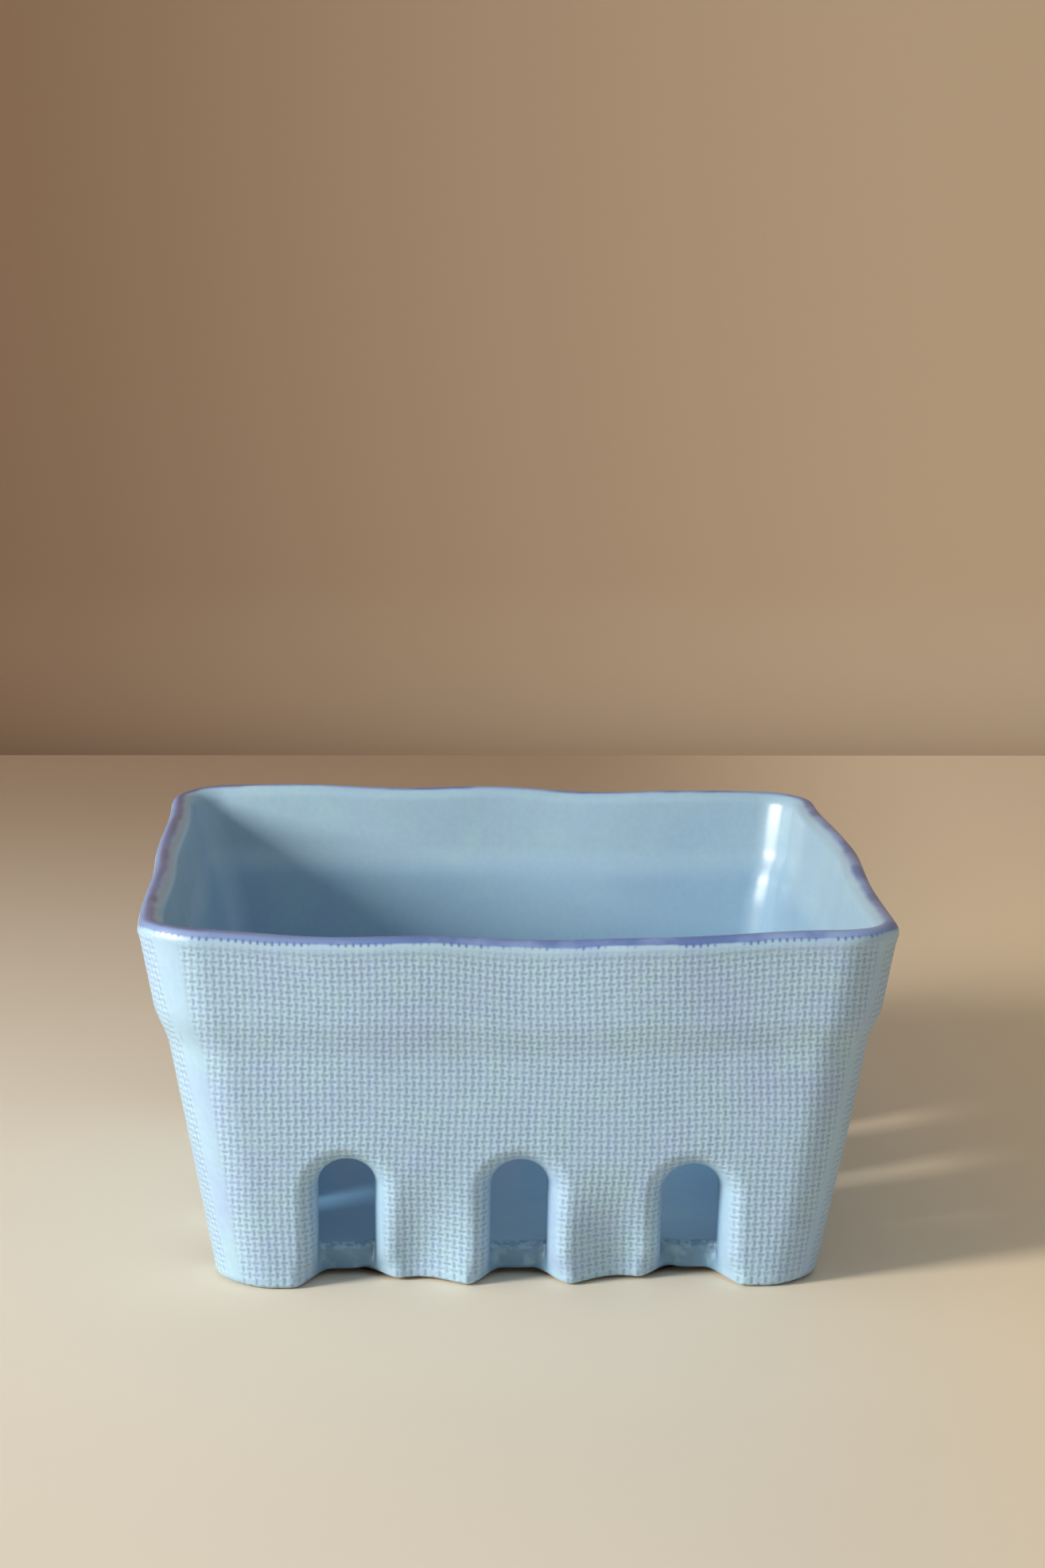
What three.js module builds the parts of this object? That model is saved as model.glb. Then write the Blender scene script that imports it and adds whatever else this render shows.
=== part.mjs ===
import * as THREE from 'three';
import { mergeVertices } from 'three/addons/utils/BufferGeometryUtils.js';

// A square stoneware berry basket in millimetres, +Z up, with its front wall towards -Y.
// Four pressed clay walls meet at mitred round corners, stand round a let-in floor slab and
// carry a rolled rim. Each joint is a thin line of slip, kept here as a narrow gap.

const { degToRad, euclideanModulo, lerp, radToDeg, smoothstep } = THREE.MathUtils;

// Sides of the bowl, in order round it
const SIDES = ['front', 'right', 'rear', 'left'];

// Overall form
const RIM_WIDTH = 140;
const FOOT_WIDTH = 113.4;
const HEIGHT = 69.8;
const RIM_CORNER_RADIUS = 12;
const FOOT_CORNER_RADIUS = 11;
const SHOULDER_DROP = 19.8;
const SHOULDER_BLEND = 8;
const SHOULDER_STEP = 1.25;

// Clay
const WALL = 4.5;
const BEAD_SIDE = 0.95;
const FLOOR_THICKNESS = 5;
const FLOOR_CLEARANCE = 1.5;
const SLIP_GAP = 0.3;

// Arched vents along the foot of each wall, with the lip rolled inwards
const CORNER_PIER = 8.25;
const ARCH_WIDTH = 10.5;
const ARCH_RISE = 18.1;
const ARCH_TOP_OFFSETS = [0.3, 0, -1];
const LIP_WIDTH = 4.6;
const LIP_DEPTH = 8;
const LIP_LAND = 2;
const LIP_BACK_LAND = 2.4;
const LIP_BACK_SPREAD = 7.5;
const SILL_LIFT = 1;

// Piers between the vents, drawn back at the table
const PIER_SETBACK = 5;
const PIER_SHIFT = 2.9;
const PIER_SPREAD = 13.5;
const PIER_TOP = 27;
const PIER_LIFT = 0.4;

// Unevenness left by the hand, by bearing round the bowl in degrees from the front to the right:
// waves of the rim in height and in plan, and places pressed in or drawn out
const RIM_WAVES = [
  { lobes: 11, rise: 0.3, bearing: 17 },
  { lobes: 3, rise: 0.45, bearing: -148 },
];
const RIM_SWAYS = [{ lobes: 9, push: 0.4, bearing: -62 }];
const RIM_PRESSES = [
  { push: -3.4, bearing: 137, spread: 25 },
  { push: 0.5, bearing: -75, spread: 40 },
];
const HAND_START = 24;

// Fineness of the mesh
const CORNER_STEPS = 4;
const FAN_STEPS = 3;
const UPPER_STEPS = 7;
const BEAD_STEPS = 6;
const LIP_RINGS = [0, 0.12, 0.42, 1];
const PATCH_MARGIN = 2;
const RING_ROOM = 0.95;

// Glazes
const WALL_GLAZE = { color: 0xa3bfcd, roughness: 0.42, metalness: 0 };
const FLOOR_GLAZE = { color: 0x7fa3ba, roughness: 0.25, metalness: 0 };
const RIM_GLAZE = { color: 0x6e82be, roughness: 0.35, metalness: 0 };

// Sizes that follow from the driving ones
const ARCH_RADIUS = ARCH_WIDTH / 2;
const FLOOR_TOP = FLOOR_CLEARANCE + FLOOR_THICKNESS;
const SPRING = FLOOR_TOP + ARCH_RISE - ARCH_RADIUS;
const PATCH_TOP = SPRING + ARCH_RADIUS + LIP_BACK_SPREAD + PATCH_MARGIN;
const BEAD_RADIUS = WALL / 2;
const BEAD_BOTTOM = HEIGHT - BEAD_RADIUS - BEAD_SIDE;
const WALL_TOP = BEAD_BOTTOM - SLIP_GAP;
const SHOULDER_START = HEIGHT - SHOULDER_DROP - SHOULDER_BLEND / 2;
const SHOULDER_END = SHOULDER_START + SHOULDER_BLEND;
const ARCHES = ARCH_TOP_OFFSETS.length;
const OUTER_ARCH = FOOT_WIDTH / 2 - FOOT_CORNER_RADIUS - CORNER_PIER - ARCH_RADIUS;
const ARCH_PITCH = 2 * OUTER_ARCH / (ARCHES - 1);
const PIER_CENTRE = ARCH_PITCH / 2 + PIER_SHIFT;
const UPPER_ROWS = evenSteps(UPPER_STEPS).map((share) => lerp(PATCH_TOP, WALL_TOP, share));

// Shares from 0 to 1 in even steps
function evenSteps(steps) {
  return Array.from({ length: steps + 1 }, (_, step) => step / steps);
}

// The plan at a height: half the outside width, the corner radius and where the corner begins
function halfWidth(z) {
  const slope = (RIM_WIDTH - FOOT_WIDTH) / 2 - SHOULDER_STEP;
  return FOOT_WIDTH / 2 + slope * z / HEIGHT
    + SHOULDER_STEP * smoothstep(z, SHOULDER_START, SHOULDER_END);
}

function cornerRadius(z) {
  return lerp(FOOT_CORNER_RADIUS, RIM_CORNER_RADIUS, z / HEIGHT);
}

function straightEnd(z) {
  return halfWidth(z) - cornerRadius(z);
}

// How far the foot of a pier is drawn back, deepest between two vents
function pierSetback(u, z) {
  const away = Math.min(1, Math.abs(Math.abs(u) - PIER_CENTRE) / PIER_SPREAD);
  return PIER_SETBACK * (1 + Math.cos(Math.PI * away)) / 2 * (1 - smoothstep(z, 0, PIER_TOP));
}

// Depth of the wall's two faces behind the plain slope, by distance q from the edge of a vent
function rolledLip(q) {
  const turn = 1 - Math.min(Math.max(q / LIP_WIDTH, 0), 1);
  return LIP_DEPTH * (1 - Math.sqrt(1 - turn * turn));
}

function lipBack(q) {
  return (LIP_DEPTH + LIP_LAND - WALL) * (1 - smoothstep(q, LIP_BACK_LAND, LIP_BACK_SPREAD));
}

const OUTSIDE = {
  inset: 0,
  depth: rolledLip,
  rings: LIP_RINGS.map((share) => share * LIP_WIDTH),
};
const INSIDE = {
  inset: WALL,
  depth: lipBack,
  rings: [0, LIP_BACK_LAND, (LIP_BACK_LAND + LIP_BACK_SPREAD) / 2, LIP_BACK_SPREAD],
};
const FLOOR_EDGE = { ...INSIDE, inset: WALL + SLIP_GAP };

// A point of a wall is { u, out, z }: along the wall, out from the middle of the bowl, and up
function wallPoint(face, u, z, q) {
  return { u, out: halfWidth(z) - face.inset - face.depth(q) - pierSetback(u, z), z };
}

// A corner turns from 0 at the end of the straight to 1 at the mitre, less half the slip joint
function cornerPoint(face, hand, turn, gap, z) {
  const radius = cornerRadius(z) - face.inset;
  const angle = turn * (Math.PI / 4 - Math.asin(gap / 2 / radius));
  const centre = straightEnd(z);
  return {
    u: hand * (centre + radius * Math.sin(angle)),
    out: centre + radius * Math.cos(angle),
    z,
  };
}

// The foot of a wall: on the table at the corners, lifted a little under sills and piers
function footLift(u, q) {
  return SILL_LIFT * rolledLip(q) / LIP_DEPTH + PIER_LIFT * pierSetback(u, 0) / PIER_SETBACK;
}

// Borders of the patch round vent number a, shared with its neighbours
function archCentre(a) {
  return (a - (ARCHES - 1) / 2) * ARCH_PITCH;
}

function patchBorder(a, hand, z) {
  const outermost = hand < 0 ? a === 0 : a === ARCHES - 1;
  return outermost ? hand * straightEnd(z) : archCentre(a) + hand * ARCH_PITCH / 2;
}

function legRows(spring) {
  return [0, FLOOR_TOP, (FLOOR_TOP + spring) / 2, spring];
}

// Rays from the edge of a vent to the border of its patch: up the left leg, over the arch and
// down the right leg
function archRays(a) {
  const centre = archCentre(a);
  const spring = SPRING + ARCH_TOP_OFFSETS[a];
  const borderRows = legRows(SPRING);
  const leg = (hand) => legRows(spring).map((z, row) => ({
    edge: [centre + hand * ARCH_RADIUS, z],
    way: [hand, 0],
    border: [patchBorder(a, hand, borderRows[row]), borderRows[row]],
    foot: row === 0,
  }));
  const fan = (hand) => {
    const rays = [];
    const addRay = (u, z) => {
      const reach = Math.hypot(u - centre, z - spring);
      const way = [(u - centre) / reach, (z - spring) / reach];
      const edge = [centre + ARCH_RADIUS * way[0], spring + ARCH_RADIUS * way[1]];
      rays.push({ edge, way, border: [u, z], foot: false });
    };
    for (const share of evenSteps(FAN_STEPS).slice(1)) {
      const z = lerp(SPRING, PATCH_TOP, share);
      addRay(patchBorder(a, hand, z), z);
    }
    for (const share of evenSteps(FAN_STEPS).slice(1, -1)) {
      addRay(lerp(patchBorder(a, hand, PATCH_TOP), centre, share), PATCH_TOP);
    }
    return rays;
  };
  const crown = {
    edge: [centre, spring + ARCH_RADIUS],
    way: [0, 1],
    border: [centre, PATCH_TOP],
    foot: false,
  };
  return [...leg(-1), ...fan(-1), crown, ...fan(1).reverse(), ...leg(1).reverse()];
}

// One ray's points on a face, from the edge of the vent outwards
function rayPoints(face, ray) {
  const widest = face.rings[face.rings.length - 1];
  const room = Math.hypot(ray.border[0] - ray.edge[0], ray.border[1] - ray.edge[1]);
  const squeeze = Math.min(1, RING_ROOM * room / widest);
  const points = face.rings.map((q) => {
    const u = ray.edge[0] + ray.way[0] * q * squeeze;
    const z = ray.foot ? footLift(u, q) : ray.edge[1] + ray.way[1] * q * squeeze;
    return wallPoint(face, u, z, q);
  });
  const borderZ = ray.foot ? footLift(ray.border[0], Infinity) : ray.border[1];
  points.push(wallPoint(face, ray.border[0], borderZ, Infinity));
  return points;
}

// The plain face below the sill of a vent, as columns from left to right
function sillColumns(face, a) {
  return [-1, 0, 1].map((share) => {
    const u = archCentre(a) + share * ARCH_RADIUS;
    return [wallPoint(face, u, footLift(u, 0), 0), wallPoint(face, u, FLOOR_TOP, 0)];
  });
}

// One face of a wall: patches as grids of points, and its borders from left to right
function wallFace(face) {
  const numbers = [...ARCH_TOP_OFFSETS.keys()];
  const arches = numbers.map((a) => archRays(a).map((ray) => rayPoints(face, ray)));
  const sills = numbers.map((a) => sillColumns(face, a));
  const topBorders = arches.flatMap((rays, a) => {
    const side = legRows(SPRING).length - 1 + FAN_STEPS;
    const borders = rays.slice(side, rays.length - side).map((points) => points[points.length - 1].u);
    return a === 0 ? borders : borders.slice(1);
  });
  const upper = topBorders.map((u, column) => UPPER_ROWS.map((z) => {
    const hand = column === 0 ? -1 : 1;
    const atEnd = column === 0 || column === topBorders.length - 1;
    return wallPoint(face, atEnd ? hand * straightEnd(z) : u, z, Infinity);
  }));
  const fanRows = evenSteps(FAN_STEPS).slice(1, -1).map((share) => lerp(SPRING, PATCH_TOP, share));
  const cornerRows = [...legRows(SPRING), ...fanRows, ...UPPER_ROWS];
  const corner = (hand) => evenSteps(CORNER_STEPS).map((turn) => (
    cornerRows.map((z) => cornerPoint(face, hand, turn, SLIP_GAP, z))
  ));
  const left = corner(-1).reverse();
  const right = corner(1);
  const foot = left.map((column) => column[0]);
  arches.forEach((rays, a) => {
    foot.push(...[...rays[0]].reverse().slice(1));
    foot.push(...sills[a].slice(1).map((column) => column[0]));
    foot.push(...rays[rays.length - 1].slice(1));
  });
  foot.push(...right.slice(1).map((column) => column[0]));
  const top = [...left, ...upper.slice(1, -1), ...right].map((column) => column[column.length - 1]);
  return { arches, sills, upper, left, right, foot, top };
}

// Collects quads of points and closes them into one body
class ClayBody {
  constructor() {
    this.corners = [];
  }

  grid(columns, flip = false) {
    for (let i = 0; i + 1 < columns.length; i++) {
      for (let j = 0; j + 1 < columns[i].length; j++) {
        const ring = [columns[i][j], columns[i + 1][j], columns[i + 1][j + 1], columns[i][j + 1]];
        if (flip) ring.reverse();
        this.corners.push(ring[0], ring[1], ring[2], ring[0], ring[2], ring[3]);
      }
    }
  }

  strip(first, second) {
    this.grid(first.map((point, i) => [point, second[i]]));
  }

  fan(centre, ring, flip = false) {
    ring.forEach((point, i) => {
      const next = ring[(i + 1) % ring.length];
      this.corners.push(centre, flip ? next : point, flip ? point : next);
    });
  }

  geometry() {
    const positions = this.corners.flatMap(handFormed);
    const geometry = new THREE.BufferGeometry();
    geometry.setAttribute('position', new THREE.Float32BufferAttribute(positions, 3));
    const merged = mergeVertices(geometry);
    merged.computeVertexNormals();
    return merged;
  }
}

// The unevenness of the rim, which grows from nothing at the foot of the walls
function handFormed([x, y, z]) {
  const turnFrom = (bearing) => radToDeg(Math.atan2(x, -y)) - bearing;
  const lobe = ({ lobes, bearing }) => Math.cos(degToRad(lobes * turnFrom(bearing)));
  const press = ({ bearing, spread }) => {
    const turn = euclideanModulo(turnFrom(bearing) + 180, 360) - 180;
    return Math.exp(-((turn / spread) ** 2));
  };
  const total = (marks, size, shape) => marks.reduce((sum, mark) => sum + mark[size] * shape(mark), 0);
  const grown = smoothstep(z, HAND_START, HEIGHT);
  const push = grown * (total(RIM_SWAYS, 'push', lobe) + total(RIM_PRESSES, 'push', press));
  const rise = grown * total(RIM_WAVES, 'rise', lobe);
  const away = Math.hypot(x, y) || 1;
  return [x + push * x / away, y + push * y / away, z + rise];
}

// Turns a point of a wall to its side of the bowl
function placed(side) {
  const angle = side * Math.PI / 2;
  const cos = Math.round(Math.cos(angle));
  const sin = Math.round(Math.sin(angle));
  return ({ u, out, z }) => [u * cos + out * sin, u * sin - out * cos, z];
}

function makeWall(side) {
  const body = new ClayBody();
  const place = placed(side);
  const onSide = (columns) => columns.map((column) => column.map(place));
  const outside = wallFace(OUTSIDE);
  const inside = wallFace(INSIDE);
  for (const [face, flip] of [[outside, false], [inside, true]]) {
    for (const patch of [...face.arches, ...face.sills, face.upper, face.left, face.right]) {
      body.grid(onSide(patch), flip);
    }
  }
  const edges = (columns, pick) => columns.map((column) => place(pick(column)));
  const first = (column) => column[0];
  const last = (column) => column[column.length - 1];
  for (let a = 0; a < ARCHES; a++) {
    const jamb = (face) => edges(face.arches[a].slice(1, -1), first);
    body.strip(jamb(inside), jamb(outside));
    body.strip(edges(outside.sills[a], last), edges(inside.sills[a], last));
  }
  body.strip(inside.foot.map(place), outside.foot.map(place));
  body.strip(outside.top.map(place), inside.top.map(place));
  body.strip(outside.left[0].map(place), inside.left[0].map(place));
  body.strip(inside.right[CORNER_STEPS].map(place), outside.right[CORNER_STEPS].map(place));
  return body.geometry();
}

// The floor follows the inside of the walls all round, a slip joint away
function floorOutline(z) {
  const outline = [];
  for (let side = 0; side < SIDES.length; side++) {
    const run = [];
    for (let a = 0; a < ARCHES; a++) {
      const rays = archRays(a);
      const level = (ray) => rayPoints(FLOOR_EDGE, { ...ray, foot: false }).map((point, ring) => (
        wallPoint(FLOOR_EDGE, point.u, z, FLOOR_EDGE.rings[ring] ?? Infinity)
      ));
      const sill = wallPoint(FLOOR_EDGE, archCentre(a), z, 0);
      run.push(...level(rays[0]).reverse().slice(1), sill, ...level(rays[rays.length - 1]));
    }
    run.pop();
    outline.push(...run.map(placed(side)), ...roundCorner(FLOOR_EDGE, side, z));
  }
  return outline;
}

// The whole corner after a side, for a piece that runs round it without a joint
function roundCorner(face, side, z) {
  const turns = evenSteps(CORNER_STEPS);
  const before = turns.map((turn) => placed(side)(cornerPoint(face, 1, turn, 0, z)));
  const after = turns.map((turn) => placed(side + 1)(cornerPoint(face, -1, turn, 0, z)));
  return [...before, ...after.reverse().slice(1)];
}

function makeFloor() {
  const body = new ClayBody();
  const bottom = floorOutline(FLOOR_CLEARANCE);
  const top = floorOutline(FLOOR_TOP);
  body.strip([...bottom, bottom[0]], [...top, top[0]]);
  body.fan([0, 0, FLOOR_TOP], top);
  body.fan([0, 0, FLOOR_CLEARANCE], bottom, true);
  return body.geometry();
}

// The rim is a bead of the wall's width, half round on top, swept round the top of the walls
function makeRim() {
  const section = [{ inset: WALL, z: BEAD_BOTTOM }, { inset: 0, z: BEAD_BOTTOM }];
  for (const share of evenSteps(BEAD_STEPS)) {
    section.push({
      inset: BEAD_RADIUS * (1 - Math.cos(Math.PI * share)),
      z: HEIGHT - BEAD_RADIUS * (1 - Math.sin(Math.PI * share)),
    });
  }
  const columns = wallFace(OUTSIDE).upper.slice(1, -1).map((column) => column[0].u);
  const rings = section.map(({ inset, z }) => {
    const face = { ...OUTSIDE, inset };
    const ring = [];
    for (let side = 0; side < SIDES.length; side++) {
      ring.push(...columns.map((u) => placed(side)(wallPoint(face, u, z, Infinity))));
      ring.push(...roundCorner(face, side, z));
    }
    return [...ring, ring[0]];
  });
  const body = new ClayBody();
  rings.forEach((ring, i) => body.strip(ring, rings[(i + 1) % rings.length]));
  return body.geometry();
}

function glazed(name, geometry, glaze) {
  const mesh = new THREE.Mesh(geometry, new THREE.MeshStandardMaterial(glaze));
  mesh.name = name;
  return mesh;
}

const basket = new THREE.Group();
SIDES.forEach((name, side) => basket.add(glazed(`${name}_wall`, makeWall(side), WALL_GLAZE)));
basket.add(glazed('floor_slab', makeFloor(), FLOOR_GLAZE));
basket.add(glazed('rim_coil', makeRim(), RIM_GLAZE));

// The middle of the foot is the origin
const box = new THREE.Box3().setFromObject(basket);
const middle = box.getCenter(new THREE.Vector3());
basket.position.set(-middle.x, -middle.y, -box.min.z);
basket.updateMatrixWorld(true);

export default basket;
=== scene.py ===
# %% [markdown]
# # A stoneware fruit basket
# The basket is a square bowl built from four pressed clay walls, a floor slab and a rolled rim, then
# glazed pale blue and fired once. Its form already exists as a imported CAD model, and this notebook
# gives it the surface a person sees: the print of coarse cloth in the clay, the glaze, and the light.
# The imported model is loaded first. Everything after it is placed in the same frame, in metres, with
# +Z up and the front wall towards -Y, so no piece has to be moved into place by eye.

# %% Load the frame
import math

import bpy
import numpy as np
from mathutils import Color, Matrix, Vector


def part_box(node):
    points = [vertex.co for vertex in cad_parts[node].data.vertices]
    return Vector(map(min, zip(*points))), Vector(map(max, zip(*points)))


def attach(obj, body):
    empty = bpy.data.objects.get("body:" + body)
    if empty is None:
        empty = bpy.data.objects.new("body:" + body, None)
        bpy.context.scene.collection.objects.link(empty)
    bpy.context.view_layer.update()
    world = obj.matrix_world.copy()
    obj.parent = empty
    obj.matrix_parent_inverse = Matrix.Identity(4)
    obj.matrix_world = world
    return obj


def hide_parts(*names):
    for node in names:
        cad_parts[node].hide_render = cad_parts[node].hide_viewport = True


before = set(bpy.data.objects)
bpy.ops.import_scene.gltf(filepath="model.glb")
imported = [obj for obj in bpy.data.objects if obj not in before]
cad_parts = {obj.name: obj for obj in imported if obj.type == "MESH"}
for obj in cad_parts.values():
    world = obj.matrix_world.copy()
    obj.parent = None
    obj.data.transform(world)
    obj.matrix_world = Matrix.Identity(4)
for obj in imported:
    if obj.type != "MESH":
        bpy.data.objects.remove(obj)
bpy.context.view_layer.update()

MILLIMETRES = 1000
DECIMALS = 2


def in_millimetres(places):
    return np.round(np.array(places) * MILLIMETRES, DECIMALS).tolist()


# %% [markdown]
# ## The camera
# The camera stands where the photographer's stood: a little above the rim, almost straight in front,
# with a long lens, so that parallel edges hardly converge. Its place was found by fitting the edges of
# the CAD model to the picture, which gives a direction, a distance and a focal length in pixels. A
# camera could also be aimed with a constraint, but a matrix made from three axes keeps the slight roll.

# %% Place the camera
IMAGE_LONG_SIDE = 1971
FOCAL_LENGTH_PIXELS = 4665.3
SENSOR_LONG_SIDE = 36.0
LENS_NEAR = 0.01
CAMERA_AZIMUTH = math.radians(-2.559)
CAMERA_ELEVATION = math.radians(11.528)
CAMERA_ROLL = math.radians(0.524)
CAMERA_DISTANCE = 0.73157
CAMERA_AIM = Vector((0.002473, 0.0, 0.084494))
UPWARDS = Vector((0.0, 0.0, 1.0))

backwards = Vector((
    math.sin(CAMERA_AZIMUTH) * math.cos(CAMERA_ELEVATION),
    -math.cos(CAMERA_AZIMUTH) * math.cos(CAMERA_ELEVATION),
    math.sin(CAMERA_ELEVATION),
))
level_right = UPWARDS.cross(backwards).normalized()
level_up = backwards.cross(level_right)
camera_right = level_right * math.cos(CAMERA_ROLL) + level_up * math.sin(CAMERA_ROLL)
camera_up = level_up * math.cos(CAMERA_ROLL) - level_right * math.sin(CAMERA_ROLL)
camera_place = CAMERA_AIM + backwards * CAMERA_DISTANCE

lens = bpy.data.cameras.new("photo lens")
lens.sensor_width = SENSOR_LONG_SIDE
lens.lens = FOCAL_LENGTH_PIXELS / IMAGE_LONG_SIDE * SENSOR_LONG_SIDE
lens.clip_start = LENS_NEAR
camera = bpy.data.objects.new("photo camera", lens)
camera_axes = Matrix((camera_right, camera_up, backwards)).transposed().to_4x4()
camera.matrix_world = Matrix.Translation(camera_place) @ camera_axes
bpy.context.scene.collection.objects.link(camera)
bpy.context.scene.camera = camera
print(f"Lens {lens.lens:.1f} mm, camera {camera_place.z * MILLIMETRES:.0f} mm above the table")

# %% [markdown]
# ## Building node trees
# Every finish below is a tree of shader nodes. A few short helpers make them readable: one adds a node
# and plugs a number or a wire into its inputs, and the rest wrap arithmetic, smooth steps, soft noise
# and colour mixing. Colours are written the way a colour picker shows them and turned into the linear
# light Blender works in.

# %% Node helpers
BYTE_FULL = 255


def linear(code):
    """A colour picker's six digits as linear red, green, blue and alpha."""
    picked = Color([value / BYTE_FULL for value in bytes.fromhex(code)])
    return (*picked.from_srgb_to_scene_linear(), 1.0)


def plug(tree, socket, source):
    """Wires a socket to another, or sets its value."""
    if isinstance(source, bpy.types.NodeSocket):
        tree.links.new(source, socket)
    else:
        socket.default_value = source


def add_node(tree, kind, inputs=None, **settings):
    """Adds a node with its settings, and plugs a source into each input that is named or numbered."""
    node = tree.nodes.new(kind)
    for name, value in settings.items():
        setattr(node, name, value)
    for name, source in (inputs or {}).items():
        plug(tree, node.inputs[name], source)
    return node


def calculate(tree, operation, *sources):
    node = add_node(tree, "ShaderNodeMath", dict(enumerate(sources)), operation=operation)
    return node.outputs["Value"]


def product(tree, first, *others):
    for other in others:
        first = calculate(tree, "MULTIPLY", first, other)
    return first


def smooth_range(tree, value, start, end, low=0.0, high=1.0):
    """Goes from low to high as a value passes from start to end, easing at both ends."""
    inputs = {"Value": value, "From Min": start, "From Max": end, "To Min": low, "To Max": high}
    node = add_node(tree, "ShaderNodeMapRange", inputs, interpolation_type="SMOOTHSTEP")
    return node.outputs["Result"]


def band(tree, value, rise, fall, strength=1.0):
    """A soft band: up over the first two places, down over the last two."""
    up = smooth_range(tree, value, *rise)
    down = smooth_range(tree, value, *fall, strength, 0.0)
    return product(tree, up, down)


def blend_colours(tree, share, first, second):
    node = add_node(tree, "ShaderNodeMix", {"Factor": share}, data_type="RGBA")
    sockets = [socket for socket in node.inputs if socket.type == "RGBA"]
    for socket, colour in zip(sockets, (first, second)):
        plug(tree, socket, colour)
    return next(socket for socket in node.outputs if socket.type == "RGBA")


def axes(tree, vector):
    """The X, Y and Z of a vector."""
    return add_node(tree, "ShaderNodeSeparateXYZ", {"Vector": vector}).outputs


def towards(tree, vector, direction):
    """How far a vector reaches in a direction."""
    node = add_node(tree, "ShaderNodeVectorMath", {0: vector, 1: direction}, operation="DOT_PRODUCT")
    return node.outputs["Value"]


def cloudy(tree, place, scale, detail=2.0, roughness=0.5):
    """Soft noise from 0 to 1 at a place, in blotches of about 1 / scale metres."""
    inputs = {"Vector": place, "Scale": scale, "Detail": detail, "Roughness": roughness}
    return add_node(tree, "ShaderNodeTexNoise", inputs).outputs["Fac"]


def patchy(tree, place, scale, start, end, low=0.0, high=1.0, detail=2.0):
    """Soft patches: low where the noise stays below start, high where it is above end."""
    return smooth_range(tree, cloudy(tree, place, scale, detail), start, end, low, high)


def bumped(tree, reliefs):
    """One bump on top of another, each given as a pattern and its height in metres."""
    below = {}
    for pattern, height in reliefs:
        node = add_node(tree, "ShaderNodeBump", {"Height": pattern, "Distance": height, **below})
        below = {"Normal": node.outputs["Normal"]}
    return below["Normal"]


def new_finish(name):
    """A material with its tree and its Principled shader."""
    finish = bpy.data.materials.new(name)
    finish.use_nodes = True
    tree = finish.node_tree
    return finish, tree, tree.nodes["Principled BSDF"]


def dress(tree, shader, colour, roughness, reliefs=()):
    """Gives a shader its colour, its roughness and, where there is any, its relief."""
    plug(tree, shader.inputs["Base Color"], colour)
    plug(tree, shader.inputs["Roughness"], roughness)
    if reliefs:
        plug(tree, shader.inputs["Normal"], bumped(tree, reliefs))


print("Node helpers ready; mid grey is", round(linear("808080")[0], DECIMALS), "in linear light")

# %% [markdown]
# ## Table, backdrop and light
# The basket stands on a plain pale table with a warm backdrop behind it. Both are only a stage and are not
# attached to the part. The backdrop is a sheet that curves up from the table, as photographers hang it. It
# could be a modelled cloth, but a bent strip is enough.

# %% Table and backdrop
TABLE_HALF = 3.0
TABLE_DROP = 0.00015
TABLE_CORNERS = ((-1, -1), (1, -1), (1, 1), (-1, 1))
BACKDROP_DISTANCE = 0.46
BACKDROP_HALF_WIDTH = 1.4
BACKDROP_HEIGHT = 1.1
BACKDROP_BEND = 0.05
BEND_STEPS = 12


def mesh_piece(name, points, faces):
    mesh = bpy.data.meshes.new(name)
    mesh.from_pydata(points, [], faces)
    piece = bpy.data.objects.new(name, mesh)
    bpy.context.scene.collection.objects.link(piece)
    return piece


table_points = [(x * TABLE_HALF, y * TABLE_HALF, -TABLE_DROP) for x, y in TABLE_CORNERS]
table = mesh_piece("table", table_points, [tuple(range(len(TABLE_CORNERS)))])

sweep = [
    (BACKDROP_DISTANCE + BACKDROP_BEND * math.sin(angle), BACKDROP_BEND * (1 - math.cos(angle)))
    for angle in np.linspace(0.0, math.pi / 2, BEND_STEPS + 1)
]
sweep.append((BACKDROP_DISTANCE + BACKDROP_BEND, BACKDROP_HEIGHT))
sweep_points = [(x * BACKDROP_HALF_WIDTH, y, z) for y, z in sweep for x in (-1, 1)]
sweep_faces = [(2 * row, 2 * row + 1, 2 * row + 3, 2 * row + 2) for row in range(len(sweep) - 1)]
backdrop = mesh_piece("backdrop", sweep_points, sweep_faces)
backdrop.data.shade_smooth()
print("The backdrop is a strip of", len(sweep_faces), "faces")

# %% [markdown]
# The paper on the table is matt, and light and shade are painted into its colour: a warm painted fill light
# on the right, painted shade far back on the left, painted light far back on the right, and painted shade
# towards the lamp. Its colour is therefore steered by the place on the table.
# The back of the backdrop lets light and cameras through, so that the basket can be seen from behind.

# %% Papers of the stage
PAPER_PALE = linear("E5D8C2")
PAPER_BRIGHT = linear("E9DDC8")
# Painted light and shade of the table: fill light on the right, shade far back on the left, light far back
# on the right, shade towards the lamp.
PAPER_RIGHT_FILL_LIGHT = linear("FFE2B6")
PAPER_FAR_LEFT_SHADE = linear("A6825E")
PAPER_FAR_RIGHT_LIGHT = linear("EDD6B8")
PAPER_SHADE = linear("4E4236")
PAPER_CLOUDS = 9.0
PAPER_ROUGHNESS = 0.8
FAR_LIGHT_SHARE = 0.8
RIGHT_SIDE = (0.02, 0.16)
LAMP_SIDE = (-0.876, -0.482, 0.0)
SHADE_REACH = (0.08, 0.60)
SHADE_SHARE = 0.87
# The backdrop is painted darker on the left and lighter on the right: painted shade and painted light.
BACKDROP_LEFT_SHADE = linear("755539")
BACKDROP_RIGHT_LIGHT = linear("C8AF90")
BACKDROP_BLEND = (-0.25, 0.25)
BACKDROP_ROUGHNESS = 0.9

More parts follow.
